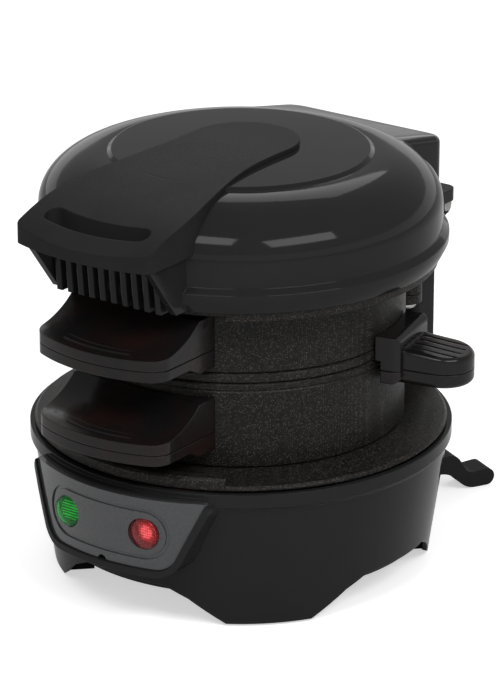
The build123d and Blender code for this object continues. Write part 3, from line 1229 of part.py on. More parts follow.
def lid_shell():
    shell = dome() + hood_block(0, LID_FLANGE_HIGH - OVERRUN) + ledge() + cheeks_and_ribs()
    shell -= dome_hollow()
    shell -= hood_block(LID_WALL, LID_EDGE_HEIGHT - OVERRUN)
    shell += bracket_posts() & hood_block(LID_WALL / 2, BRACKET_BOTTOM)
    hole = rod_z(SCREW_RADIUS, BRACKET_BOTTOM, BRACKET_TOP + LID_SCREW_LENGTH, BRACKET_SCREW_SPACING / 2,
                 BRACKET_SCREW_Y)
    return shell - mirrored(hole)


def tongue_plan():
    """Plan of the lid handle: round end, waisted sides, wide grip."""
    half = GRIP_WIDTH / 2
    radius = TONGUE_RADIUS
    middle = TONGUE_CENTRE_Y
    outline = ThreePointArc((radius, middle), (0, middle + radius), (-radius, middle))
    for side in (-1, 1):
        outline += Spline(
            (side * radius, middle), (side * (radius + TONGUE_WAIST_SWELL), TONGUE_WAIST_Y),
            (side * (half - TONGUE_FLARE_SHORT), TONGUE_FLARE_Y), (side * half, TONGUE_SIDE_Y),
            tangents=[(0, -1), (0, -1)])
        outline += Line((side * half, TONGUE_SIDE_Y), (side * half, GRIP_CORNER_Y))
    outline += ThreePointArc((-half, GRIP_CORNER_Y), (0, GRIP_FRONT_Y), (half, GRIP_CORNER_Y))
    face = make_face(outline)
    return fillet(face.vertices().sort_by(Axis.Y)[:2], GRIP_CORNER)


def grip_slot():
    """Curved finger slot through the grip."""
    low, high = GRIP_UNDERSIDE - OVERRUN, TONGUE_TOP + OVERRUN
    slot = arc_bar(GRIP_SLOT_RADIUS, GRIP_SLOT_WIDTH, GRIP_SLOT_ANGLE, low, high, 0)
    half = math.radians(GRIP_SLOT_ANGLE / 2)
    end = rod_z(GRIP_SLOT_WIDTH / 2, low - OVERRUN, high + OVERRUN,
                GRIP_SLOT_RADIUS * math.sin(half), -GRIP_SLOT_RADIUS * math.cos(half))
    return slot + mirrored(end)


def tongue_profile():
    """Side view of the lid handle, falling from the crown to the grip."""
    back = TONGUE_CENTRE_Y + TONGUE_RADIUS + OVERRUN
    front = GRIP_FRONT_Y - OVERRUN
    start = (TONGUE_CENTRE_Y, TONGUE_TOP)
    middle = (TONGUE_MIDDLE_Y, TONGUE_TOP - TONGUE_MIDDLE_DROP)
    grip = (GRIP_CORNER_Y, GRIP_FRONT_TOP)
    end = (front, GRIP_FRONT_TOP - GRIP_SLOPE * (GRIP_CORNER_Y - front))
    top = Line((back, TONGUE_TOP), start) + Spline(
        start, middle, grip, tangents=[(-1, 0), (-1, -GRIP_SLOPE)]) + Line(grip, end)
    rest = Polyline(end, (front, GRIP_UNDERSIDE), (back, GRIP_UNDERSIDE), (back, TONGUE_TOP))
    return Plane.YZ * make_face(top + rest)


def lid_handle():
    body = Pos(0, 0, GRIP_UNDERSIDE) * extrude(tongue_plan(), TONGUE_TOP - GRIP_UNDERSIDE)
    body &= extrude(tongue_profile(), GRIP_WIDTH, both=True)
    body -= dome()
    return body - grip_slot()


def upper_heating_plate():
    face = LID_HEATER_FACE
    body = LID_EDGE_RADIUS - LID_WALL - REST_GAP
    lip_top = LID_EDGE_HEIGHT - CURVED_FIT
    plate = turned([
        (0, face - HEATER_BOSS_RISE), (HEATER_BOSS_RADIUS, face - HEATER_BOSS_RISE),
        (HEATER_BOSS_RADIUS + HEATER_BOSS_SLOPE, face), (LID_LIP_INNER - HEATER_EASE, face),
        (LID_LIP_INNER, LID_LIP_BOTTOM), (LID_LIP_RADIUS, LID_LIP_BOTTOM), (LID_LIP_RADIUS, lip_top),
        (body, lip_top), (body, LID_HEATER_TOP), (0, LID_HEATER_TOP)])
    gap = front_sector(HEATER_LIP_ANGLE, LID_LIP_BOTTOM - OVERRUN, lip_top - LID_LIP_DROP)
    gap -= rod_z(LID_LIP_INNER + LID_LIP_LEDGE, LID_LIP_BOTTOM - 2 * OVERRUN, lip_top)
    return plate - gap


def lid_ear():
    """One ear of the lid's bracket, down to the hinge pin."""
    front = TOWER_FRONT + LID_EAR_INSET
    back = BRACKET_BACK - BRACKET_GAP / 2
    crest = HINGE_Z + KNUCKLE_RADIUS
    outline = [
        (front, BRACKET_TOP - OVERRUN), (back, BRACKET_TOP - OVERRUN), (back, crest), (HINGE_Y, crest),
        (HINGE_Y, HINGE_Z - KNUCKLE_RADIUS), (front, LID_HEATER_TOP)]
    inner = LID_EAR_OUTER - LID_EAR_WIDTH
    ear = side_plate(outline, inner, LID_EAR_OUTER)
    return ear + rod_x(KNUCKLE_RADIUS, inner, LID_EAR_OUTER, HINGE_Y, HINGE_Z)


def lid_hinge_bracket():
    half = HOOD_WIDTH / 2 - LID_WALL - BRACKET_GAP / 2
    plate = block((-half, half), (TOWER_FRONT - BRACKET_LEAD, BRACKET_BACK), (BRACKET_BOTTOM, BRACKET_TOP))
    plate = fillet(plate.edges().filter_by(Axis.Z).sort_by(Axis.Y)[-2:], HOOD_CORNER - LID_WALL)
    bracket = plate + mirrored(lid_ear())
    hole = rod_z(SCREW_RADIUS, BRACKET_BOTTOM - OVERRUN, BRACKET_TOP + OVERRUN,
                 BRACKET_SCREW_SPACING / 2, BRACKET_SCREW_Y)
    bracket -= mirrored(hole)
    reach = LID_EAR_OUTER + OVERRUN
    return bracket - rod_x(PIN_RADIUS + PIN_CLEARANCE, -reach, reach, HINGE_Y, HINGE_Z)


def lid_screws():
    return [upward_screw(side * BRACKET_SCREW_SPACING / 2, BRACKET_SCREW_Y, BRACKET_BOTTOM,
                         LID_SCREW_LENGTH) for side in (-1, 1)]


def parts():
    """Every sub-part by name, with groups of like fasteners as lists."""
    lower_top, lower_bottom = handle_halves(HANDLE_LOWER_PARTING)
    upper_top, upper_bottom = handle_halves(HANDLE_UPPER_PARTING)
    lever_top, lever_bottom = lever_halves()
    lower_z = HEATER_UNDERSIDE - ELEMENT_TUBE - CURVED_FIT
    upper_z = LID_HEATER_TOP + ELEMENT_TUBE + CURVED_FIT
    return {
        "base_housing": base_housing(),
        "hinge_tower": hinge_tower(),
        "bottom_cover": bottom_cover(),
        "rear_stabiliser": rear_stabiliser(),
        "rubber_feet": rubber_feet(),
        "control_panel": control_panel(),
        "power_lamp": lamp(1),
        "preheat_lamp": lamp(-1),
        "lamp_holders": lamp_holders(),
        "lower_heating_plate": lower_heating_plate(),
        "lower_heating_element": element(lower_z, -1),
        "heat_shield": heat_shield(),
        "thermostat": thermostat(),
        "thermal_fuse": thermal_fuse(),
        "terminal_block": terminal_block(),
        "cord_gland": cord_gland(),
        "base_screws": base_screws(),
        "hinge_pin": hinge_pin(),
        "pin_clips": pin_clips(),
        "lower_ring": lower_ring(),
        "lower_hinge_arm": hinge_arm(LOWER_ARM_OUTER, LOWER_ARM_WIDTH, LOWER_PAD, LOWER_RIVETS),
        "lower_arm_rivets": rivets(LOWER_RIVETS),
        "lower_handle_top": lower_top,
        "lower_handle_bottom": lower_bottom,
        "lower_handle_screws": handle_screws(HANDLE_LOWER_PARTING),
        "upper_ring": upper_ring(),
        "upper_hinge_arm": hinge_arm(UPPER_ARM_OUTER, UPPER_ARM_WIDTH, UPPER_PAD, UPPER_RIVETS),
        "upper_arm_rivets": rivets(UPPER_RIVETS),
        "upper_handle_top": upper_top,
        "upper_handle_bottom": upper_bottom,
        "upper_handle_screws": handle_screws(HANDLE_UPPER_PARTING),
        "plate_pivot_pin": plate_pivot_pin(),
        "cooking_plate": cooking_plate(),
        "plate_lever_top": lever_top,
        "plate_lever_bottom": lever_bottom,
        "lever_screw": lever_screw(),
        "lid_shell": lid_shell(),
        "lid_handle": lid_handle(),
        "upper_heating_plate": upper_heating_plate(),
        "upper_heating_element": element(upper_z, 1),
        "lid_hinge_bracket": lid_hinge_bracket(),
        "lid_screws": lid_screws(),
    }


def main():
    os.makedirs("parts", exist_ok=True)
    place = Pos(SHIFT_X, SHIFT_Y, 0)
    for name, shape in parts().items():
        pieces = shape if isinstance(shape, list) else [shape]
        moved = [solid for piece in pieces for solid in (place * piece).solids()]
        whole = moved[0] if len(moved) == 1 else Compound(children=moved)
        export_step(whole, f"parts/{name}.step")
    print("cooking axis at", round(SHIFT_X, 3), round(SHIFT_Y, 3))
    print("hinge pin at", round(HINGE_Y + SHIFT_Y, 3), HINGE_Z)
    print("plate pivot at", round(PIVOT_X + SHIFT_X, 3), round(PIVOT_Y + SHIFT_Y, 3))


main()
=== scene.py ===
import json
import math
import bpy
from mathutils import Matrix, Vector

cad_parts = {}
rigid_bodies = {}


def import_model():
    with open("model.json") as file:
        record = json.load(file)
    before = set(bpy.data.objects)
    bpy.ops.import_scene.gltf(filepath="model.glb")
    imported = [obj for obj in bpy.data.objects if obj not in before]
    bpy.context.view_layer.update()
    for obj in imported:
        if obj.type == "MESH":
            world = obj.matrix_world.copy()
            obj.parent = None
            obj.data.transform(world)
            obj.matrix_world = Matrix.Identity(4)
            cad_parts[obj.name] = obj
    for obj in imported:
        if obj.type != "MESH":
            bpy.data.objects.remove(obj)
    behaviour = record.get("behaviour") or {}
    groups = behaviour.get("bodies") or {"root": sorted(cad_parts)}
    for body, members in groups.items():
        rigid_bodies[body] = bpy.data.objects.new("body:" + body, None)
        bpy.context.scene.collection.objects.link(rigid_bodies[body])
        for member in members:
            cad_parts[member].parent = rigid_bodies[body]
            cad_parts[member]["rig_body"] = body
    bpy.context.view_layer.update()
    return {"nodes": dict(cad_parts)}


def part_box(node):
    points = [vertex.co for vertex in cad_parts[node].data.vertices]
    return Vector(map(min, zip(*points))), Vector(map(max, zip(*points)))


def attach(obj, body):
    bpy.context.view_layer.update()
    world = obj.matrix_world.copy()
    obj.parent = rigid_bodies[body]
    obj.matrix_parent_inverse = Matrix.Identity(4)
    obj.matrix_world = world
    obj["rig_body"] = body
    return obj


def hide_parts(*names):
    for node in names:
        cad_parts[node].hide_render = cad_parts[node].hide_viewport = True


bl_info = {
    "name": "Electric burger maker",
    "version": (1, 0, 0),
    "blender": (4, 5, 0),
    "location": "3D View > Sidebar > Burger maker",
    "description": "Finishes, small pieces and studio for a round countertop burger cooker",
    "category": "Object",
}

import bpy
from mathutils import Matrix, Vector

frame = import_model()

MM = 0.001
X, Y, Z = range(3)
FLAT_ANGLE = math.radians(0.3)
CORNER_DECIMALS = 6
ORDER_DECIMALS = 5


def middle(node):
    """Centre of a CAD node's box."""
    low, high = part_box(node)
    return (low + high) / 2


AXIS = middle("heat_shield")

# The camera's place was worked out from the round rims in the photograph.
CAMERA_DISTANCE = 1.5
CAMERA_AZIMUTH = 36.5
CAMERA_ELEVATION = 20.8
CAMERA_AIM_HEIGHT = 0.0863
CAMERA_SIDE_STEP = 0.0036
CAMERA_LENS = 192.4
CAMERA_SENSOR = 36.0
CAMERA_REACH = 20.0
LAMP_DISTANCE = 1.0
LAMP_AIM_HEIGHT = 0.14
FLOOR_RADIUS = 4.0
FLOOR_DROP = 0.0002
FLOOR_COLOUR = (0.88, 0.88, 0.88, 1)
FLOOR_ROUGHNESS = 0.95
WHITE = (1, 1, 1, 1)
FULL_WHITE = 1.0


class BurgerFinishes(bpy.types.PropertyGroup):
    housing_colour: bpy.props.FloatVectorProperty(
        name="Housing colour", description="Colour of the base and the lid shell",
        subtype="COLOR", size=4, min=0, max=1, default=(0.015, 0.015, 0.0155, 1))
    housing_roughness: bpy.props.FloatProperty(
        name="Housing roughness", description="Roughness of the gloss plastic",
        subtype="FACTOR", min=0, max=1, default=0.07)
    satin_colour: bpy.props.FloatVectorProperty(
        name="Satin colour", description="Colour of the lid handle, tower and feet",
        subtype="COLOR", size=4, min=0, max=1, default=(0.016, 0.016, 0.0165, 1))
    handle_colour: bpy.props.FloatVectorProperty(
        name="Handle colour", description="Colour of the phenolic handles and lever",
        subtype="COLOR", size=4, min=0, max=1, default=(0.0075, 0.0068, 0.0068, 1))
    coating_colour: bpy.props.FloatVectorProperty(
        name="Coating colour", description="Ground colour of the speckled nonstick coating",
        subtype="COLOR", size=4, min=0, max=1, default=(0.0075, 0.0068, 0.0064, 1))
    panel_colour: bpy.props.FloatVectorProperty(
        name="Panel colour", description="Colour of the metallic grey control panel",
        subtype="COLOR", size=4, min=0, max=1, default=(0.05, 0.051, 0.054, 1))
    red_colour: bpy.props.FloatVectorProperty(
        name="Power lens colour", description="Colour of the red lens",
        subtype="COLOR", size=4, min=0, max=1, default=(0.75, 0.11, 0.12, 1))
    green_colour: bpy.props.FloatVectorProperty(
        name="Preheat lens colour", description="Colour of the green lens",
        subtype="COLOR", size=4, min=0, max=1, default=(0.05, 0.5, 0.1, 1))


class BurgerSizes(bpy.types.PropertyGroup):
    smooth_angle: bpy.props.FloatProperty(
        name="Smooth angle", description="Edges flatter than this are shaded smooth",
        subtype="ANGLE", unit="ROTATION", default=math.radians(28))
    merge_distance: bpy.props.FloatProperty(
        name="Merge distance", description="Corners nearer than this are joined in a copy",
        subtype="DISTANCE", unit="LENGTH", default=0.000002, precision=6)
    lens_ribs: bpy.props.IntProperty(
        name="Lens ribs", description="Bars behind the green lens", min=3, max=20, default=7)
    lens_rise: bpy.props.FloatProperty(
        name="Lens rise", description="Height of a lens above the panel",
        subtype="DISTANCE", unit="LENGTH", default=0.0018)
    recess_width: bpy.props.FloatProperty(
        name="Drive recess", description="Width across a screw's cross recess",
        subtype="DISTANCE", unit="LENGTH", default=0.003)


class BurgerStudio(bpy.types.PropertyGroup):
    front_radiance: bpy.props.FloatProperty(
        name="Front lights", description="Brightness of the two soft boxes before the object",
        min=0, default=8.0)
    back_radiance: bpy.props.FloatProperty(
        name="Back light", description="Brightness of the soft box behind the object",
        min=0, default=1.6)
    room_strength: bpy.props.FloatProperty(
        name="Room light", description="Strength of the even light all round",
        min=0, default=0.42)
    ceiling_strength: bpy.props.FloatProperty(
        name="Ceiling", description="Brightness of the upper room as glossy faces show it",
        min=0, default=0.42)
    backdrop_height: bpy.props.FloatProperty(
        name="Backdrop height", description="Elevation up to which the white backdrop reaches",
        subtype="ANGLE", unit="ROTATION", default=math.radians(12))
    floor_lift: bpy.props.FloatProperty(
        name="Floor lift", description="Brightness that the camera sees added to the floor",
        min=0, default=0.55)


def finishes():
    return bpy.context.scene.burger_finishes


def sizes():
    return bpy.context.scene.burger_sizes


def studio():
    return bpy.context.scene.burger_studio


# Most noise lies between the first two numbers, and patches are cut at the next two.
NOISE_LOW = 0.3
NOISE_HIGH = 0.7
PATCH_LOW = 0.35
PATCH_HIGH = 0.65
COAT_ROUGHNESS = 0.06
EDGE_SAMPLES = 6


class Finish:
    """A procedural material under construction, on Object coordinates."""

    def __init__(self, name, colour, roughness, metallic=0.0, coat=0.0, ior=1.2):
        self.material = bpy.data.materials.new(name)
        self.material.use_nodes = True
        self.material.diffuse_color = tuple(colour)
        self.nodes = self.material.node_tree.nodes
        self.links = self.material.node_tree.links
        self.shader = self.nodes["Principled BSDF"]
        self.shader.inputs["Base Color"].default_value = tuple(colour)
        self.shader.inputs["Roughness"].default_value = roughness
        self.shader.inputs["Metallic"].default_value = metallic
        self.shader.inputs["Coat Weight"].default_value = coat
        self.shader.inputs["Coat Roughness"].default_value = COAT_ROUGHNESS
        self.shader.inputs["IOR"].default_value = ior
        self.place = self.nodes.new("ShaderNodeTexCoord").outputs["Object"]
        self.normal = None

    def node(self, kind, **inputs):
        made = self.nodes.new(kind)
        for name, value in inputs.items():
            socket = made.inputs[name.replace("_", " ")]
            if isinstance(value, bpy.types.NodeSocket):
                self.links.new(value, socket)
            else:
                socket.default_value = value
        return made

    def noise(self, scale, detail, roughness=0.5, place=None):
        made = self.node("ShaderNodeTexNoise", Vector=place or self.place, Scale=scale,
                         Detail=detail, Roughness=roughness)
        return made.outputs["Fac"]

    def spread(self, value, low, high, to_low, to_high):
        made = self.node("ShaderNodeMapRange")
        self.links.new(value, made.inputs["Value"])
        for name, number in zip(("From Min", "From Max", "To Min", "To Max"),
                                (low, high, to_low, to_high)):
            made.inputs[name].default_value = number
        return made.outputs["Result"]

    def between(self, noise, low, high):
        """Noise stretched to run from one number to another."""
        return self.spread(noise, NOISE_LOW, NOISE_HIGH, low, high)

    def patchy(self, noise):
        """Noise sharpened into patches."""
        return self.spread(noise, PATCH_LOW, PATCH_HIGH, 0.0, 1.0)

    def mix(self, amount, first, second):
        made = self.nodes.new("ShaderNodeMix")
        made.data_type = "RGBA"
        self.links.new(amount, made.inputs["Factor"])
        for name, value in (("A", first), ("B", second)):
            socket = next(s for s in made.inputs if s.name == name and s.type == "RGBA")
            if isinstance(value, bpy.types.NodeSocket):
                self.links.new(value, socket)
            else:
                socket.default_value = tuple(value)
        return next(s for s in made.outputs if s.type == "RGBA")

    def bump(self, height, depth, strength):
        made = self.node("ShaderNodeBump", Height=height)
        made.inputs["Distance"].default_value = depth
        made.inputs["Strength"].default_value = strength
        if self.normal:
            self.links.new(self.normal, made.inputs["Normal"])
        self.normal = made.outputs["Normal"]

    def round_edges(self, radius):
        made = self.nodes.new("ShaderNodeBevel")
        made.samples = EDGE_SAMPLES
        made.inputs["Radius"].default_value = radius
        self.normal = made.outputs["Normal"]

    def done(self, colour, roughness=None):
        """Joins what was made to the shader."""
        self.links.new(colour, self.shader.inputs["Base Color"])
        if roughness:
            self.links.new(roughness, self.shader.inputs["Roughness"])
        if self.normal:
            self.links.new(self.normal, self.shader.inputs["Normal"])
        return self.material


def shade(colour, factor):
    return tuple(min(1.0, c * factor) for c in colour[:3]) + (1.0,)


def once(maker):
    """A finish is made the first time that it is asked for."""
    def finish():
        name = maker.__name__ + "_finish"
        return bpy.data.materials.get(name) or maker(name)
    return finish


@once
def gloss_housing(name):
    """Gloss charcoal moulded plastic with faint flow marks and haze."""
    base = finishes().housing_colour
    mat = Finish(name, base, finishes().housing_roughness)
    mat.round_edges(radius=0.0007)
    flow = mat.noise(scale=14.0, detail=3.0)
    colour = mat.mix(mat.patchy(flow), shade(base, 0.92), shade(base, 1.1))
    haze = mat.noise(scale=60.0, detail=4.0, roughness=0.6)
    roughness = mat.between(haze, finishes().housing_roughness - 0.02,
                           finishes().housing_roughness + 0.03)
    return mat.done(colour, roughness)


@once
def satin_housing(name):
    """Satin charcoal plastic with the fine spark-eroded grain of its mould."""
    base = finishes().satin_colour
    mat = Finish(name, base, roughness=0.5, ior=1.15)
    mat.round_edges(radius=0.0006)
    grain = mat.noise(scale=1500.0, detail=3.0, roughness=0.6)
    colour = mat.mix(mat.patchy(mat.noise(scale=35.0, detail=3.0)),
                     shade(base, 0.9), shade(base, 1.12))
    mat.bump(grain, depth=0.00006, strength=0.5)
    return mat.done(colour, mat.between(grain, 0.44, 0.58))


@once
def inner_plastic(name):
    """Plain black plastic of the parts underneath, with a coarse grain."""
    base = shade(finishes().satin_colour, 0.7)
    mat = Finish(name, base, roughness=0.5)
    grain = mat.noise(scale=900.0, detail=3.0, roughness=0.6)
    mat.bump(grain, depth=0.00008, strength=0.6)
    colour = mat.mix(grain, shade(base, 0.85), shade(base, 1.2))
    return mat.done(colour, mat.between(grain, 0.42, 0.6))


def speckled(name, base, fleck, density, roughness):
    """Sprayed nonstick coating: dark ground, pebbled surface and metallic flecks."""
    mat = Finish(name, base, roughness, ior=1.25)
    mat.round_edges(radius=0.0005)
    cells = mat.node("ShaderNodeTexVoronoi", Vector=mat.place, Scale=2300.0)
    dots = mat.node("ShaderNodeSeparateColor", Color=cells.outputs["Color"]).outputs["Red"]
    near = mat.spread(cells.outputs["Distance"], 0.3, 0.5, 1.0, 0.0)
    chosen = mat.spread(dots, 1.0 - density, 1.0 - density * 0.6, 0.0, 1.0)
    amount = mat.node("ShaderNodeMath")
    amount.operation = "MULTIPLY"
    mat.links.new(near, amount.inputs[0])
    mat.links.new(chosen, amount.inputs[1])
    mottle = mat.mix(mat.patchy(mat.noise(scale=420.0, detail=3.0)),
                     shade(base, 0.75), shade(base, 1.45))
    colour = mat.mix(amount.outputs[0], mottle, fleck)
    pebble = mat.noise(scale=1100.0, detail=2.0, roughness=0.5)
    mat.bump(pebble, depth=0.00009, strength=0.8)
    return mat.done(colour, mat.between(pebble, roughness - 0.08, roughness + 0.12))


@once
def nonstick_ring(name):
    return speckled(name, finishes().coating_colour, fleck=(0.085, 0.076, 0.066, 1),
                    density=0.3, roughness=0.4)


@once
def nonstick_plate(name):
    return speckled(name, shade(finishes().coating_colour, 1.2), fleck=(0.1, 0.088, 0.07, 1),
                    density=0.3, roughness=0.36)


@once
def phenolic(name):
    """Polished black phenolic with a faint brown cast and fine filler grain."""
    base = finishes().handle_colour
    mat = Finish(name, base, roughness=0.14, coat=0.05, ior=1.3)
    mat.round_edges(radius=0.0006)
    cloud = mat.noise(scale=45.0, detail=4.0, roughness=0.6)
    brown = (0.022, 0.0075, 0.006, 1)
    colour = mat.mix(mat.spread(cloud, 0.42, 0.72, 0.0, 0.6), base, brown)
    fine = mat.noise(scale=700.0, detail=3.0, roughness=0.6)
    mat.bump(mat.noise(scale=190.0, detail=3.0), depth=0.00007, strength=0.45)
    return mat.done(colour, mat.between(fine, 0.12, 0.26))


@once
def panel_grey(name):
    """Dark metallic paint under a clear gloss coat."""
    base = finishes().panel_colour
    mat = Finish(name, base, roughness=0.22, metallic=0.3, coat=1.0)
    mat.round_edges(radius=0.0004)
    flakes = mat.node("ShaderNodeTexVoronoi", Vector=mat.place, Scale=4200.0)
    glitter = mat.node("ShaderNodeSeparateColor", Color=flakes.outputs["Color"]).outputs["Green"]
    colour = mat.mix(mat.spread(glitter, 0.5, 1.0, 0.0, 1.0), shade(base, 0.85), shade(base, 1.35))
    return mat.done(colour, mat.between(mat.noise(scale=90.0, detail=3.0), 0.26, 0.36))


def clear_lens(name, tint):
    """Clear tinted moulding that shows the insert behind it."""
    mat = Finish(name, tint, roughness=0.04, ior=1.3)
    mat.shader.inputs["Transmission Weight"].default_value = 0.85
    cloud = mat.noise(scale=300.0, detail=2.0)
    colour = mat.mix(mat.between(cloud, 0.0, 1.0), shade(tint, 0.8), shade(tint, 1.2))
    return mat.done(colour, mat.between(mat.noise(scale=900.0, detail=2.0), 0.03, 0.08))


@once
def red_lens(name):
    return clear_lens(name, finishes().red_colour)


@once
def green_lens(name):
    return clear_lens(name, finishes().green_colour)


def glowing(name, tint, glow):
    """Lit insert behind a lens, mottled where the light passes through it."""
    mat = Finish(name, tint, roughness=0.25)
    spots = mat.noise(scale=650.0, detail=3.0, roughness=0.6)
    colour = mat.mix(mat.patchy(spots), shade(tint, 0.7), shade(tint, 1.2))
    mat.links.new(colour, mat.shader.inputs["Emission Color"])
    mat.shader.inputs["Emission Strength"].default_value = glow
    return mat.done(colour, mat.between(spots, 0.18, 0.34))


@once
def pink_studs(name):
    return glowing(name, tint=(1.0, 1.0, 1.0, 1), glow=0.9)


@once
def red_studs(name):
    return glowing(name, tint=(0.9, 0.3, 0.3, 1), glow=0.12)


@once
def green_bars(name):
    return glowing(name, tint=(0.4, 0.9, 0.4, 1), glow=0.5)


@once
def lamp_well(name):
    """Dark moulding that the lit inserts stand in."""
    base = (0.02, 0.016, 0.016, 1)
    mat = Finish(name, base, roughness=0.5)
    grain = mat.noise(scale=800.0, detail=3.0)
    return mat.done(mat.mix(grain, shade(base, 0.6), shade(base, 1.3)),
                    mat.between(grain, 0.3, 0.5))


def worked_metal(name, base, roughness, stretch):
    """Bare metal with fine lines along one direction and slight tarnish."""
    mat = Finish(name, base, roughness, metallic=1.0)
    turn = mat.node("ShaderNodeMapping", Vector=mat.place)
    turn.inputs["Scale"].default_value = stretch
    lines = mat.noise(scale=1400.0, detail=3.0, roughness=0.6, place=turn.outputs["Vector"])
    tarnish = mat.spread(mat.noise(scale=110.0, detail=4.0), 0.35, 0.7, 0.0, 1.0)
    colour = mat.mix(tarnish, base, shade(base, 0.72))
    mat.bump(lines, depth=0.00003, strength=0.5)
    return mat.done(colour, mat.between(lines, roughness - 0.08, roughness + 0.12))


@once
def bright_steel(name):
    return worked_metal(name, base=(0.5, 0.49, 0.47, 1), roughness=0.3, stretch=(0.12, 1.0, 1.0))


@once
def element_sheath(name):
    return worked_metal(name, base=(0.2, 0.17, 0.15, 1), roughness=0.5, stretch=(1.0, 1.0, 0.3))


@once
def shield_metal(name):
    return worked_metal(name, base=(0.62, 0.62, 0.63, 1), roughness=0.34, stretch=(0.05, 1.0, 1.0))


@once
def arm_coating(name):
    """Baked black coating on pressed steel."""
    base = (0.02, 0.02, 0.0205, 1)
    mat = Finish(name, base, roughness=0.38)
    mat.round_edges(radius=0.0004)
    peel = mat.noise(scale=600.0, detail=2.0)
    mat.bump(peel, depth=0.00005, strength=0.5)
    colour = mat.mix(mat.noise(scale=80.0, detail=3.0), shade(base, 0.8), shade(base, 1.5))
    return mat.done(colour, mat.between(peel, 0.32, 0.46))


@once
def foot_rubber(name):
    """Matt rubber with scuffs on the foot."""
    base = (0.02, 0.02, 0.02, 1)
    mat = Finish(name, base, roughness=0.8)
    scuff = mat.noise(scale=500.0, detail=4.0, roughness=0.7)
    mat.bump(scuff, depth=0.0001, strength=0.6)
    colour = mat.mix(mat.spread(scuff, 0.5, 0.75, 0.0, 1.0), base, (0.06, 0.058, 0.055, 1))
    return mat.done(colour, mat.between(scuff, 0.7, 0.9))


@once
def terminal_ceramic(name):
    """Glazed off-white ceramic."""
    base = (0.72, 0.69, 0.62, 1)
    mat = Finish(name, base, roughness=0.35, coat=0.3)
    colour = mat.mix(mat.noise(scale=240.0, detail=3.0), base, shade(base, 0.86))
    mat.bump(mat.noise(scale=500.0, detail=2.0), depth=0.00004, strength=0.4)
    return mat.done(colour)


def clear_selection():
    if bpy.context.object and bpy.context.object.mode != "OBJECT":
        bpy.ops.object.mode_set(mode="OBJECT")
    bpy.ops.object.select_all(action="DESELECT")


def select_only(piece):
    clear_selection()
    piece.select_set(True)
    bpy.context.view_layer.objects.active = piece


def paint(piece, material):
    piece.data.materials.clear()
    piece.data.materials.append(material)


def body_of(node):
    return frame["nodes"][node]["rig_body"]


def smooth_copy(node, name, material):
    """Merged, smooth-shaded copy of a CAD node that stands for it."""
    piece = bpy.data.objects.new(name, frame["nodes"][node].data.copy())
    bpy.context.scene.collection.objects.link(piece)
    select_only(piece)
    bpy.ops.object.mode_set(mode="EDIT")
    bpy.ops.mesh.select_all(action="SELECT")
    bpy.ops.mesh.customdata_custom_splitnormals_clear()
    bpy.ops.mesh.remove_doubles(threshold=sizes().merge_distance)
    bpy.ops.mesh.dissolve_limited(angle_limit=FLAT_ANGLE)
    bpy.ops.mesh.select_all(action="DESELECT")
    bpy.ops.object.mode_set(mode="OBJECT")
    bpy.ops.object.shade_smooth_by_angle(angle=sizes().smooth_angle)
    paint(piece, material)
    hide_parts(node)
    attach(piece, body_of(node))


def solids_of(node):
    """Low and high corner of each separate solid of a CAD node."""
    mesh = frame["nodes"][node].data
    owner = {}

    def top(key):
        while owner[key] != key:
            key = owner[key]
        return key

    for polygon in mesh.polygons:
        keys = [tuple(round(c, CORNER_DECIMALS) for c in mesh.vertices[i].co)
                for i in polygon.vertices]
        for key in keys:
            owner.setdefault(key, key)
        first = top(keys[0])
        for key in keys[1:]:
            owner[top(key)] = first
    groups = {}
    for key in owner:
        groups.setdefault(top(key), []).append(key)
    boxes = [(Vector(map(min, zip(*keys))), Vector(map(max, zip(*keys))))
             for keys in groups.values()]
    return sorted(boxes, key=lambda box: tuple(round(c, ORDER_DECIMALS) for c in box[0]))


def span(low, high, axis):
    """Length of a box along an axis, in millimetres."""
    return (high[axis] - low[axis]) / MM


def side_middle(low, high, axis):
    """Middle of the side of a box that faces -X, -Y or -Z."""
    place = (low + high) / 2
    place[axis] = low[axis]
    return place


def turned(name, profile, steps=48):
    """Body of revolution about Z, drawn as an outline of radius and height and spun."""
    clear_selection()
    bpy.ops.mesh.primitive_plane_add(size=MM, location=(0, 0, 0))
    piece = bpy.context.object
    piece.name = name
    bpy.ops.object.mode_set(mode="EDIT")
    bpy.ops.mesh.select_all(action="SELECT")
    bpy.ops.mesh.merge(type="CENTER")
    points = [(radius * MM, height * MM) for radius, height in profile]
    bpy.ops.transform.translate(value=(points[0][0], 0, points[0][1]))
    for (old_r, old_z), (new_r, new_z) in zip(points, points[1:]):
        bpy.ops.mesh.extrude_region_move(
            TRANSFORM_OT_translate={"value": (new_r - old_r, 0, new_z - old_z)})
    bpy.ops.mesh.select_all(action="SELECT")
    bpy.ops.mesh.spin(steps=steps, angle=2 * math.pi, center=(0, 0, 0), axis=(0, 0, 1))
    bpy.ops.mesh.select_all(action="SELECT")
    bpy.ops.mesh.remove_doubles(threshold=sizes().merge_distance)
    bpy.ops.mesh.normals_make_consistent(inside=False)
    bpy.ops.object.mode_set(mode="OBJECT")
    return piece


def bar(name, size, place, turn=0.0):
    """Box with its size and middle in millimetres, turned about Z."""
    clear_selection()
    bpy.ops.mesh.primitive_cube_add(size=1.0, location=tuple(c * MM for c in place),
                                    rotation=(0, 0, turn))
    piece = bpy.context.object
    piece.name = name
    piece.scale = tuple(c * MM for c in size)
    bpy.ops.object.transform_apply(location=True, rotation=True, scale=True)
    return piece


def join(pieces, name):
    """Joins pieces into the first of them."""
    clear_selection()
    for piece in pieces:
        piece.select_set(True)
    bpy.context.view_layer.objects.active = pieces[0]
    if len(pieces) > 1:
        bpy.ops.object.join()
    joined = bpy.context.object
    joined.name = name
    return joined


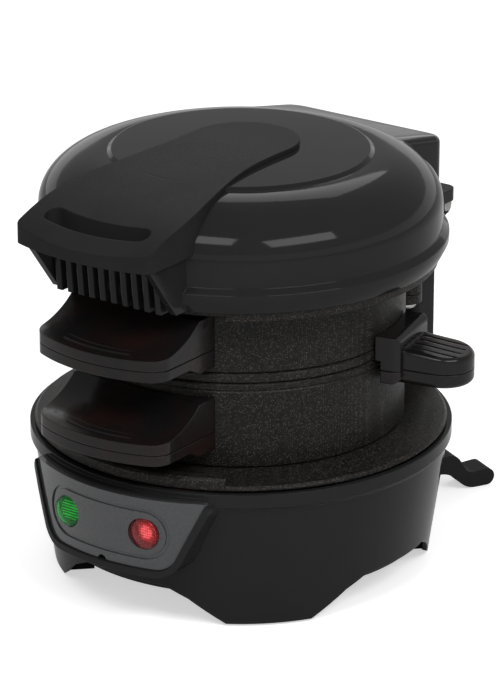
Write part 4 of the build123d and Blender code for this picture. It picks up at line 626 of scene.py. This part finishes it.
def carve(piece, cutters):
    """Cuts a piece with others, which are used up."""
    cutter = join(cutters, "cutter")
    select_only(piece)
    cut = piece.modifiers.new("cut", "BOOLEAN")
    cut.object = cutter
    cut.operation = "DIFFERENCE"
    cut.solver = "EXACT"
    bpy.ops.object.modifier_apply(modifier=cut.name)
    bpy.data.objects.remove(cutter, do_unlink=True)
    return piece


def settle(piece, place, turn=(0, 0, 0)):
    """Moves a piece to its place and leaves its origin at zero."""
    select_only(piece)
    piece.rotation_euler = turn
    piece.location = place
    bpy.ops.object.transform_apply(location=True, rotation=True, scale=True)
    return piece


def finish_piece(piece, material, body, *nodes):
    """Smooths and paints a piece and puts it on its body, in place of any nodes named."""
    select_only(piece)
    bpy.ops.object.shade_smooth_by_angle(angle=sizes().smooth_angle)
    paint(piece, material)
    if nodes:
        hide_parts(*nodes)
    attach(piece, body)


# CAD node: name of the copy that stands for it, and its finish.
DRESSED = {
    "base_housing": ("base_shell", gloss_housing),
    "control_panel": ("panel_fascia", panel_grey),
    "hinge_tower": ("tower_column", satin_housing),
    "bottom_cover": ("base_cover", inner_plastic),
    "rear_stabiliser": ("rear_legs", satin_housing),
    "lower_heating_plate": ("base_heater", nonstick_plate),
    "lower_ring": ("lower_cooking_ring", nonstick_ring),
    "lower_handle_top": ("lower_grip_top", phenolic),
    "lower_handle_bottom": ("lower_grip_bottom", phenolic),
    "upper_ring": ("upper_cooking_ring", nonstick_ring),
    "upper_handle_top": ("upper_grip_top", phenolic),
    "upper_handle_bottom": ("upper_grip_bottom", phenolic),
    "cooking_plate": ("swing_plate", nonstick_plate),
    "plate_lever_top": ("lever_top", phenolic),
    "plate_lever_bottom": ("lever_bottom", phenolic),
    "lid_shell": ("lid_dome", gloss_housing),
    "lid_handle": ("lid_tongue", satin_housing),
    "upper_heating_plate": ("lid_heater", nonstick_plate),
}

# CAD node that is kept as it is: its finish.
CARRIED_OVER = {
    "lower_hinge_arm": arm_coating,
    "upper_hinge_arm": arm_coating,
    "lid_hinge_bracket": arm_coating,
    "lamp_holders": inner_plastic,
    "lower_heating_element": element_sheath,
    "upper_heating_element": element_sheath,
    "heat_shield": shield_metal,
    "thermostat": bright_steel,
    "thermal_fuse": bright_steel,
    "terminal_block": terminal_ceramic,
}


class BURGER_OT_shells(bpy.types.Operator):
    """Copies the main bodies of the cooker with smooth shading and their finishes"""
    bl_idname = "burger.shells"
    bl_label = "Main bodies"

    def execute(self, context):
        for node, (name, finish) in DRESSED.items():
            smooth_copy(node, name, finish())
        return {"FINISHED"}


ALONG_X = (0, math.pi / 2, 0)
ALONG_BACK = (-math.pi / 2, 0, 0)
ALONG_FRONT = (math.pi / 2, 0, 0)

# Lamps, in millimetres, with depths counted back from the lens's rim.
LENS_WALL = 1.1
LENS_HOLLOW_SHARE = 0.84
LENS_ARC_STEPS = 8
WELL_OUTER = 5.2
WELL_MOUTH = 4.9
WELL_INNER = 4.7
WELL_TOP = 1.7
WELL_LIP = 1.9
WELL_FLOOR = 2.6
WELL_BACK = 3.0
BAR_STACK = 8.2
BAR_CIRCLE = 4.5
BAR_RADIUS = 0.3
BAR_TIP_RADIUS = 0.2
BAR_TIP = 0.2
BAR_DEPTH = 1.9
BAR_SIDES = 12
STUD_PITCH = 1.1
STUD_ROWS = 4
STUD_RADIUS = 0.6
STUD_NECK = 0.45
STUD_FOOT = 2.5
STUD_SHOULDER = 2.0
STUD_TIP = 1.6
STUD_SIDES = 4
STUD_MIDDLE = 2.7
STUD_EDGE = 4.3


def lens_body(name, radius, depth, rise):
    """Round lens with a domed face towards +Z, whose rim is at height 0."""
    ball = (radius ** 2 + rise ** 2) / (2 * rise)
    dome = []
    for step in range(LENS_ARC_STEPS + 1):
        out = radius * step / LENS_ARC_STEPS
        dome.append((out, rise - ball + math.sqrt(ball ** 2 - out ** 2)))
    foot = [(radius, -depth), (radius * LENS_HOLLOW_SHARE, -depth)]
    hollow = [(out * LENS_HOLLOW_SHARE, height - LENS_WALL) for out, height in reversed(dome)]
    return turned(name, dome + foot + hollow)


class BURGER_OT_lamps(bpy.types.Operator):
    """Models the two clear lenses and the lit inserts behind them"""
    bl_idname = "burger.lamps"
    bl_label = "Lamps"

    def execute(self, context):
        power = self.lens("power", "power_lamp", red_lens())
        self.insert("power_well", self.well(), power, lamp_well())
        self.insert("power_middle", self.studs(0.0, STUD_MIDDLE), power, pink_studs())
        self.insert("power_border", self.studs(STUD_MIDDLE, STUD_EDGE), power, red_studs())
        preheat = self.lens("preheat", "preheat_lamp", green_lens())
        self.insert("preheat_well", self.well(), preheat, lamp_well())
        self.insert("preheat_bars", self.bars(), preheat, green_bars())
        return {"FINISHED"}

    def lens(self, name, node, finish):
        """Makes the lens of a lamp and tells where the middle of its rim is."""
        low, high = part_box(node)
        rise = sizes().lens_rise / MM
        rim = side_middle(low, high, Y)
        rim.y += sizes().lens_rise
        body = lens_body(name + "_lens", span(low, high, X) / 2, span(low, high, Y) - rise, rise)
        finish_piece(settle(body, rim, ALONG_FRONT), finish, body_of(node), node)
        return rim

    def insert(self, name, piece, rim, finish):
        piece.name = name
        finish_piece(settle(piece, rim, ALONG_FRONT), finish, body_of("power_lamp"))

    def well(self):
        """Well behind the lens, whose lip shows as the lamp's dark border."""
        return turned("well", [
            (0, -WELL_FLOOR), (WELL_INNER, -WELL_FLOOR), (WELL_MOUTH, -WELL_LIP),
            (WELL_OUTER, -WELL_TOP), (WELL_OUTER, -WELL_BACK), (0, -WELL_BACK)])

    def bars(self):
        """Stack of round bars, seen through the green lens."""
        count = sizes().lens_ribs
        made = []
        for index in range(count):
            place = (index - (count - 1) / 2) * BAR_STACK / count
            half = math.sqrt(BAR_CIRCLE ** 2 - place ** 2)
            piece = turned("bar", [
                (0, -half), (BAR_TIP_RADIUS, -half), (BAR_RADIUS, BAR_TIP - half),
                (BAR_RADIUS, half - BAR_TIP), (BAR_TIP_RADIUS, half), (0, half)], BAR_SIDES)
            made.append(settle(piece, (0, place * MM, -BAR_DEPTH * MM), ALONG_X))
        return join(made, "bars")

    def studs(self, inner, outer):
        """Grid of small pointed studs between two radii, seen through the red lens."""
        made = []
        for column in range(-STUD_ROWS, STUD_ROWS + 1):
            for row in range(-STUD_ROWS, STUD_ROWS + 1):
                if inner <= math.hypot(column, row) * STUD_PITCH < outer:
                    piece = turned("stud", [
                        (0, -STUD_FOOT), (STUD_RADIUS, -STUD_FOOT), (STUD_NECK, -STUD_SHOULDER),
                        (0, -STUD_TIP)], STUD_SIDES)
                    place = (column * STUD_PITCH * MM, row * STUD_PITCH * MM, 0)
                    made.append(settle(piece, place))
        return join(made, "studs")


# Screws, in millimetres unless they are shares.
HEAD_HEIGHT_SHARE = 0.667
SHANK_SHARE = 0.5
POINT_LENGTH = 1.0
POINT_SHARE = 0.6
# Middle of the head: share of its radius, and height.
SCREW_CROWN = ((0.0, 0.0), (0.504, 0.02), (0.72, 0.12))
# Side of the head: share of its radius, and share of its height.
SCREW_SIDE = ((0.94, 0.294), (1.0, 0.588), (1.0, 1.0))
RECESS_ARM_SHARE = 0.2
RECESS_CUT = 1.8
RECESS_PLACE = 0.2
# Drilled middle of the recess: share of the recess's width, and height.
DRILL = ((0, -0.5), (0.22, -0.5), (0.12, 1.3), (0, 1.5))
DRILL_SIDES = 12
FIRST_SCREW_TURN = 0.35

SCREWS = {
    "base_screws": "cover_screws",
    "lower_handle_screws": "lower_grip_screws",
    "upper_handle_screws": "upper_grip_screws",
    "lever_screw": "grip_screw",
    "lid_screws": "bracket_screws",
}


def screw(name, head, length):
    """Screw with a domed head that faces down and has a cross recess."""
    height = head * HEAD_HEIGHT_SHARE
    shank = head * SHANK_SHARE
    crown = [(head * share, rise) for share, rise in SCREW_CROWN]
    side = [(head * share, height * rise) for share, rise in SCREW_SIDE]
    body = turned(name, crown + side + [
        (shank, height), (shank, length - POINT_LENGTH), (shank * POINT_SHARE, length),
        (0, length)])
    wide = sizes().recess_width / MM
    for turn in (0, math.pi / 2):
        size = (wide, wide * RECESS_ARM_SHARE, RECESS_CUT)
        carve(body, [bar("arm", size, (0, 0, RECESS_PLACE), turn)])
    hole = turned("drill", [(wide * share, rise) for share, rise in DRILL], DRILL_SIDES)
    return carve(body, [hole])


class BURGER_OT_screws(bpy.types.Operator):
    """Models every screw with its cross recess"""
    bl_idname = "burger.screws"
    bl_label = "Screws"

    def execute(self, context):
        for node, name in SCREWS.items():
            made = []
            for low, high in solids_of(node):
                piece = screw(name, span(low, high, X) / 2, span(low, high, Z))
                turn = FIRST_SCREW_TURN + len(made)
                made.append(settle(piece, side_middle(low, high, Z), (0, 0, turn)))
            finish_piece(join(made, name), bright_steel(), body_of(node), node)
        return {"FINISHED"}


RIVET_STEPS = 32
RIVET_FLANGE = 1.4
RIVET_HEAD = 1.2
# Dome of a rivet: share of the head's radius, and height above its seat.
RIVET_DOME = ((1.0, 0.25), (0.9, 0.65), (0.62, 1.0), (0.3, 1.18))
PIN_STEPS = 40
# Rounded end of the hinge pin: inset from its radius, and distance from its end.
PIN_END = ((0.6, 0.0), (0.15, 0.2), (0.0, 0.6))
PLATE_PIN_RADIUS = 2.5
PLATE_PIN_TIP = 0.4
PLATE_PIN_DIMPLE = ((0, 0.5), (1.1, 0.5), (1.3, 0))
# Rounded head of the plate's pin: inset from its radius, and height.
PLATE_PIN_HEAD = ((1.6, 0), (0.5, 0.4), (0, 1.1), (0, 2.5))
CLIP_BORE = 2.42
CLIP_EDGE = 0.15
CLIP_CUT_HEIGHT = 0.5
CLIP_MOUTH = (5.0, 3.3, 4.0)
CLIP_MOUTH_PLACE = 3.9
CLIP_NOTCH = (1.6, 1.5, 4.0)
CLIP_NOTCH_PLACE = 3.0
CLIP_NOTCH_TURNS = (math.radians(115), math.radians(245))


class BURGER_OT_pivots(bpy.types.Operator):
    """Models the rivets, the two pivot pins and the clips on the hinge pin"""
    bl_idname = "burger.pivots"
    bl_label = "Rivets, pins and clips"

    def execute(self, context):
        self.rivets("lower_arm_rivets", "lower_fork_rivets")
        self.rivets("upper_arm_rivets", "upper_fork_rivets")
        self.hinge_pin()
        self.plate_pin()
        self.clips()
        return {"FINISHED"}

    def rivets(self, node, name):
        made = []
        for low, high in solids_of(node):
            reach = span(low, high, Y)
            head = span(low, high, X) / 2
            shank, seat = head - RIVET_FLANGE, reach - RIVET_HEAD
            dome = [(head * share, seat + rise) for share, rise in RIVET_DOME]
            outline = [(0, 0), (shank, 0), (shank, seat), (head, seat)] + dome + [(0, reach)]
            piece = turned(name, outline, RIVET_STEPS)
            made.append(settle(piece, side_middle(low, high, Y), ALONG_BACK))
        finish_piece(join(made, name), bright_steel(), body_of(node), node)

    def hinge_pin(self):
        low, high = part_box("hinge_pin")
        length = span(low, high, X)
        radius = span(low, high, Z) / 2
        near = [(radius - inset, run) for inset, run in PIN_END]
        far = [(radius - inset, length - run) for inset, run in reversed(PIN_END)]
        piece = turned("long_pin", [(0, 0)] + near + far + [(0, length)], PIN_STEPS)
        piece = settle(piece, side_middle(low, high, X), ALONG_X)
        finish_piece(piece, bright_steel(), body_of("hinge_pin"), "hinge_pin")

    def plate_pin(self):
        low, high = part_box("plate_pivot_pin")
        length = span(low, high, Z)
        radius = span(low, high, X) / 2
        head = [(radius - inset, height) for inset, height in PLATE_PIN_HEAD]
        shank = [(PLATE_PIN_RADIUS, head[-1][1]), (PLATE_PIN_RADIUS, length - PLATE_PIN_TIP),
                 (PLATE_PIN_RADIUS - PLATE_PIN_TIP, length), (0, length)]
        piece = turned("plate_pin", list(PLATE_PIN_DIMPLE) + head + shank, PIN_STEPS)
        piece = settle(piece, side_middle(low, high, Z))
        finish_piece(piece, bright_steel(), body_of("plate_pivot_pin"), "plate_pivot_pin")

    def clips(self):
        """Open spring clips with three inner lobes."""
        made = []
        for low, high in solids_of("pin_clips"):
            wide = span(low, high, X)
            outer = span(low, high, Z) / 2
            ring = turned("clip", [
                (CLIP_BORE, 0), (outer - CLIP_EDGE, 0), (outer, CLIP_EDGE),
                (outer, wide - CLIP_EDGE), (outer - CLIP_EDGE, wide), (CLIP_BORE, wide),
                (CLIP_BORE, 0)])
            cuts = [bar("mouth", CLIP_MOUTH, (CLIP_MOUTH_PLACE, 0, CLIP_CUT_HEIGHT))]
            for turn in CLIP_NOTCH_TURNS:
                place = (CLIP_NOTCH_PLACE * math.cos(turn), CLIP_NOTCH_PLACE * math.sin(turn),
                         CLIP_CUT_HEIGHT)
                cuts.append(bar("notch", CLIP_NOTCH, place, turn))
            made.append(settle(carve(ring, cuts), side_middle(low, high, X), ALONG_X))
        finish_piece(join(made, "spring_clips"), bright_steel(), body_of("pin_clips"), "pin_clips")


FOOT_STEPS = 40
TREAD_RINGS = (1.0, 2.2, 3.4)
TREAD_DEPTH = 0.5
TREAD_WIDTH = 0.7
TREAD_FLANK = 0.15
TREAD_MIDDLE = 0.8
# Edge of a foot's sole: inset from its radius, and height.
FOOT_EDGE = ((0.35, 0.5), (0.1, 0.9), (0.0, 1.3))


class BURGER_OT_feet(bpy.types.Operator):
    """Models the four rubber feet with ringed soles"""
    bl_idname = "burger.feet"
    bl_label = "Rubber feet"

    def execute(self, context):
        made = []
        for low, high in solids_of("rubber_feet"):
            radius = span(low, high, X) / 2
            height = span(low, high, Z)
            outline = [(0, TREAD_DEPTH), (TREAD_MIDDLE, TREAD_DEPTH)]
            for inner in TREAD_RINGS:
                outer = inner + TREAD_WIDTH
                outline += [(inner, 0), (outer, 0), (outer + TREAD_FLANK, TREAD_DEPTH)]
            outline += [(radius - inset, rise) for inset, rise in FOOT_EDGE]
            foot = turned("foot", outline + [(radius, height), (0, height)], FOOT_STEPS)
            made.append(settle(foot, side_middle(low, high, Z)))
        finish_piece(join(made, "grip_feet"), foot_rubber(), body_of("rubber_feet"), "rubber_feet")
        return {"FINISHED"}


BUSH_STEPS = 40
BUSH_BORE = 2.6
BUSH_NECK = 4.0
BUSH_INNER_CHAMFER = 0.3
BUSH_COLLAR_START = 8.0
BUSH_COLLAR_END = 5.4
# Collar of the bush: inset from its radius, and distance from the outer end.
BUSH_COLLAR = ((0.5, BUSH_COLLAR_START), (0.0, 7.5), (0.0, 6.0), (0.6, 5.5))
BUSH_GROOVES = 3
BUSH_FIRST_GROOVE = 4.9
BUSH_GROOVE_PITCH = 1.5
# A groove in the neck: depth, and distance along the neck.
BUSH_GROOVE = ((0.0, 0.0), (0.6, 0.2), (0.6, 0.8), (0.0, 1.0))
# Rounded outer end: radius, and distance from the end.
BUSH_END = ((4.0, 0.3), (3.6, 0.0), (3.1, 0.0), (2.6, 0.5))


class BURGER_OT_gland(bpy.types.Operator):
    """Models the inlet bush at the back with its ribbed neck"""
    bl_idname = "burger.gland"
    bl_label = "Inlet bush"

    def execute(self, context):
        low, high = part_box("cord_gland")
        length = span(low, high, Y)
        collar = span(low, high, X) / 2
        outline = [(BUSH_BORE, 0), (BUSH_NECK - BUSH_INNER_CHAMFER, 0),
                   (BUSH_NECK, BUSH_INNER_CHAMFER), (BUSH_NECK, length - BUSH_COLLAR_START)]
        outline += [(collar - inset, length - back) for inset, back in BUSH_COLLAR]
        outline += [(BUSH_NECK, length - BUSH_COLLAR_END)]
        for index in range(BUSH_GROOVES):
            start = length - BUSH_FIRST_GROOVE + BUSH_GROOVE_PITCH * index
            outline += [(BUSH_NECK - depth, start + run) for depth, run in BUSH_GROOVE]
        outline += [(radius, length - back) for radius, back in BUSH_END]
        bush = turned("inlet_bush", outline + [(BUSH_BORE, 0)], BUSH_STEPS)
        bush = settle(bush, side_middle(low, high, Y), ALONG_BACK)
        finish_piece(bush, inner_plastic(), body_of("cord_gland"), "cord_gland")
        return {"FINISHED"}


class BURGER_OT_inner_parts(bpy.types.Operator):
    """Gives the small and inner CAD parts their finishes"""
    bl_idname = "burger.inner_parts"
    bl_label = "Small and inner parts"

    def execute(self, context):
        for node, finish in CARRIED_OVER.items():
            paint(frame["nodes"][node], finish())
        return {"FINISHED"}


def soft_box(name, azimuth, elevation, width, height, radiance):
    """Rectangular lamp that faces the object from one metre away."""
    light = bpy.data.lights.new(name, "AREA")
    light.shape = "RECTANGLE"
    light.size = width
    light.size_y = height
    light.energy = radiance * math.pi * width * height
    holder = bpy.data.objects.new(name, light)
    aim = Vector((AXIS.x, AXIS.y, LAMP_AIM_HEIGHT))
    holder.location = around(azimuth, elevation, LAMP_DISTANCE)
    holder.rotation_euler = (aim - holder.location).to_track_quat("-Z", "Y").to_euler()
    bpy.context.scene.collection.objects.link(holder)


def around(azimuth, elevation, distance):
    """Point round the cooking axis; azimuth 0 is the front and 90 the lever's side."""
    turn = math.radians(azimuth)
    rise = math.radians(elevation)
    return Vector((AXIS.x + distance * math.sin(turn) * math.cos(rise),
                   AXIS.y - distance * math.cos(turn) * math.cos(rise),
                   CAMERA_AIM_HEIGHT + distance * math.sin(rise)))


class BURGER_OT_stage(bpy.types.Operator):
    """Sets up the pale floor, the soft lights and the camera at the photograph's angle"""
    bl_idname = "burger.stage"
    bl_label = "Studio and camera"

    def execute(self, context):
        scene = context.scene
        scene.view_settings.view_transform = "Standard"
        self.floor()
        self.room(scene)
        front, back = studio().front_radiance, studio().back_radiance
        soft_box("left_box", azimuth=15, elevation=47, width=0.42, height=0.26, radiance=front)
        soft_box("right_box", azimuth=74, elevation=41, width=0.6, height=0.26, radiance=front)
        soft_box("back_box", azimuth=215, elevation=42, width=0.5, height=0.4, radiance=back)
        self.camera(scene)
        return {"FINISHED"}

    def floor(self):
        """Pale floor that looks white to the camera and keeps the shadow."""
        clear_selection()
        bpy.ops.mesh.primitive_circle_add(vertices=64, radius=FLOOR_RADIUS, fill_type="NGON",
                                          location=(AXIS.x, AXIS.y, -FLOOR_DROP))
        plane = bpy.context.object
        plane.name = "studio_floor"
        material = bpy.data.materials.new("pale_floor")
        material.use_nodes = True
        nodes = material.node_tree.nodes
        links = material.node_tree.links
        shader = nodes["Principled BSDF"]
        shader.inputs["Base Color"].default_value = FLOOR_COLOUR
        shader.inputs["Roughness"].default_value = FLOOR_ROUGHNESS
        shader.inputs["Emission Color"].default_value = WHITE
        path = nodes.new("ShaderNodeLightPath")
        lift = nodes.new("ShaderNodeMath")
        lift.operation = "MULTIPLY"
        lift.inputs[1].default_value = studio().floor_lift
        links.new(path.outputs["Is Camera Ray"], lift.inputs[0])
        links.new(lift.outputs[0], shader.inputs["Emission Strength"])
        paint(plane, material)

    def room(self, scene):
        """Even light, with a white backdrop low down for glossy and clear faces."""
        world = bpy.data.worlds.new("white_room")
        scene.world = world
        world.use_nodes = True
        nodes = world.node_tree.nodes
        links = world.node_tree.links

        def maths(kind, first, second):
            made = nodes.new("ShaderNodeMath")
            made.operation = kind
            for socket, value in zip(made.inputs, (first, second)):
                if isinstance(value, bpy.types.NodeSocket):
                    links.new(value, socket)
                else:
                    socket.default_value = value
            return made.outputs[0]

        def either(amount, first, second):
            made = nodes.new("ShaderNodeMix")
            made.data_type = "FLOAT"
            for socket, value in zip(made.inputs, (amount, None, first, second)):
                if isinstance(value, bpy.types.NodeSocket):
                    links.new(value, socket)
                elif value is not None:
                    socket.default_value = value
            return made.outputs["Result"]

        path = nodes.new("ShaderNodeLightPath").outputs
        height = nodes.new("ShaderNodeSeparateXYZ")
        links.new(nodes.new("ShaderNodeTexCoord").outputs["Generated"], height.inputs[0])
        low = maths("LESS_THAN", height.outputs["Z"], math.sin(studio().backdrop_height))
        mirrored = either(low, studio().ceiling_strength, FULL_WHITE)
        shiny = maths("MAXIMUM", path["Is Glossy Ray"], path["Is Transmission Ray"])
        seen = either(shiny, studio().room_strength, mirrored)
        strength = either(path["Is Camera Ray"], seen, FULL_WHITE)
        nodes["Background"].inputs["Color"].default_value = WHITE
        links.new(strength, nodes["Background"].inputs["Strength"])

    def camera(self, scene):
        turn = math.radians(CAMERA_AZIMUTH)
        side = Vector((math.cos(turn), math.sin(turn), 0)) * CAMERA_SIDE_STEP
        place = around(CAMERA_AZIMUTH, CAMERA_ELEVATION, CAMERA_DISTANCE) + side
        aim = Vector((AXIS.x, AXIS.y, CAMERA_AIM_HEIGHT)) + side
        lens = bpy.data.cameras.new("photo_camera")
        lens.lens = CAMERA_LENS
        lens.sensor_width = CAMERA_SENSOR
        lens.clip_end = CAMERA_REACH
        holder = bpy.data.objects.new("photo_camera", lens)
        holder.location = place
        holder.rotation_euler = (aim - place).to_track_quat("-Z", "Y").to_euler()
        scene.collection.objects.link(holder)
        scene.camera = holder


class BURGER_PT_panel(bpy.types.Panel):
    bl_idname = "BURGER_PT_panel"
    bl_label = "Burger maker"
    bl_space_type = "VIEW_3D"
    bl_region_type = "UI"
    bl_category = "Burger maker"

    def draw(self, context):
        column = self.layout.column()
        for operator in OPERATORS:
            column.operator(operator.bl_idname)
        for group in (context.scene.burger_finishes, context.scene.burger_sizes,
                      context.scene.burger_studio):
            for name in group.bl_rna.properties.keys():
                if name not in {"rna_type", "name"}:
                    column.prop(group, name)


OPERATORS = (
    BURGER_OT_shells,
    BURGER_OT_lamps,
    BURGER_OT_screws,
    BURGER_OT_pivots,
    BURGER_OT_feet,
    BURGER_OT_gland,
    BURGER_OT_inner_parts,
    BURGER_OT_stage,
)
GROUPS = {
    "burger_finishes": BurgerFinishes,
    "burger_sizes": BurgerSizes,
    "burger_studio": BurgerStudio,
}


def register():
    for name, group in GROUPS.items():
        bpy.utils.register_class(group)
        setattr(bpy.types.Scene, name, bpy.props.PointerProperty(type=group))
    for operator in OPERATORS:
        bpy.utils.register_class(operator)
    bpy.utils.register_class(BURGER_PT_panel)


def unregister():
    bpy.utils.unregister_class(BURGER_PT_panel)
    for operator in reversed(OPERATORS):
        bpy.utils.unregister_class(operator)
    for name, group in GROUPS.items():
        delattr(bpy.types.Scene, name)
        bpy.utils.unregister_class(group)


def main():
    register()
    for operator in OPERATORS:
        group, name = operator.bl_idname.split(".")
        getattr(getattr(bpy.ops, group), name)()


if __name__ == "__main__":
    main()
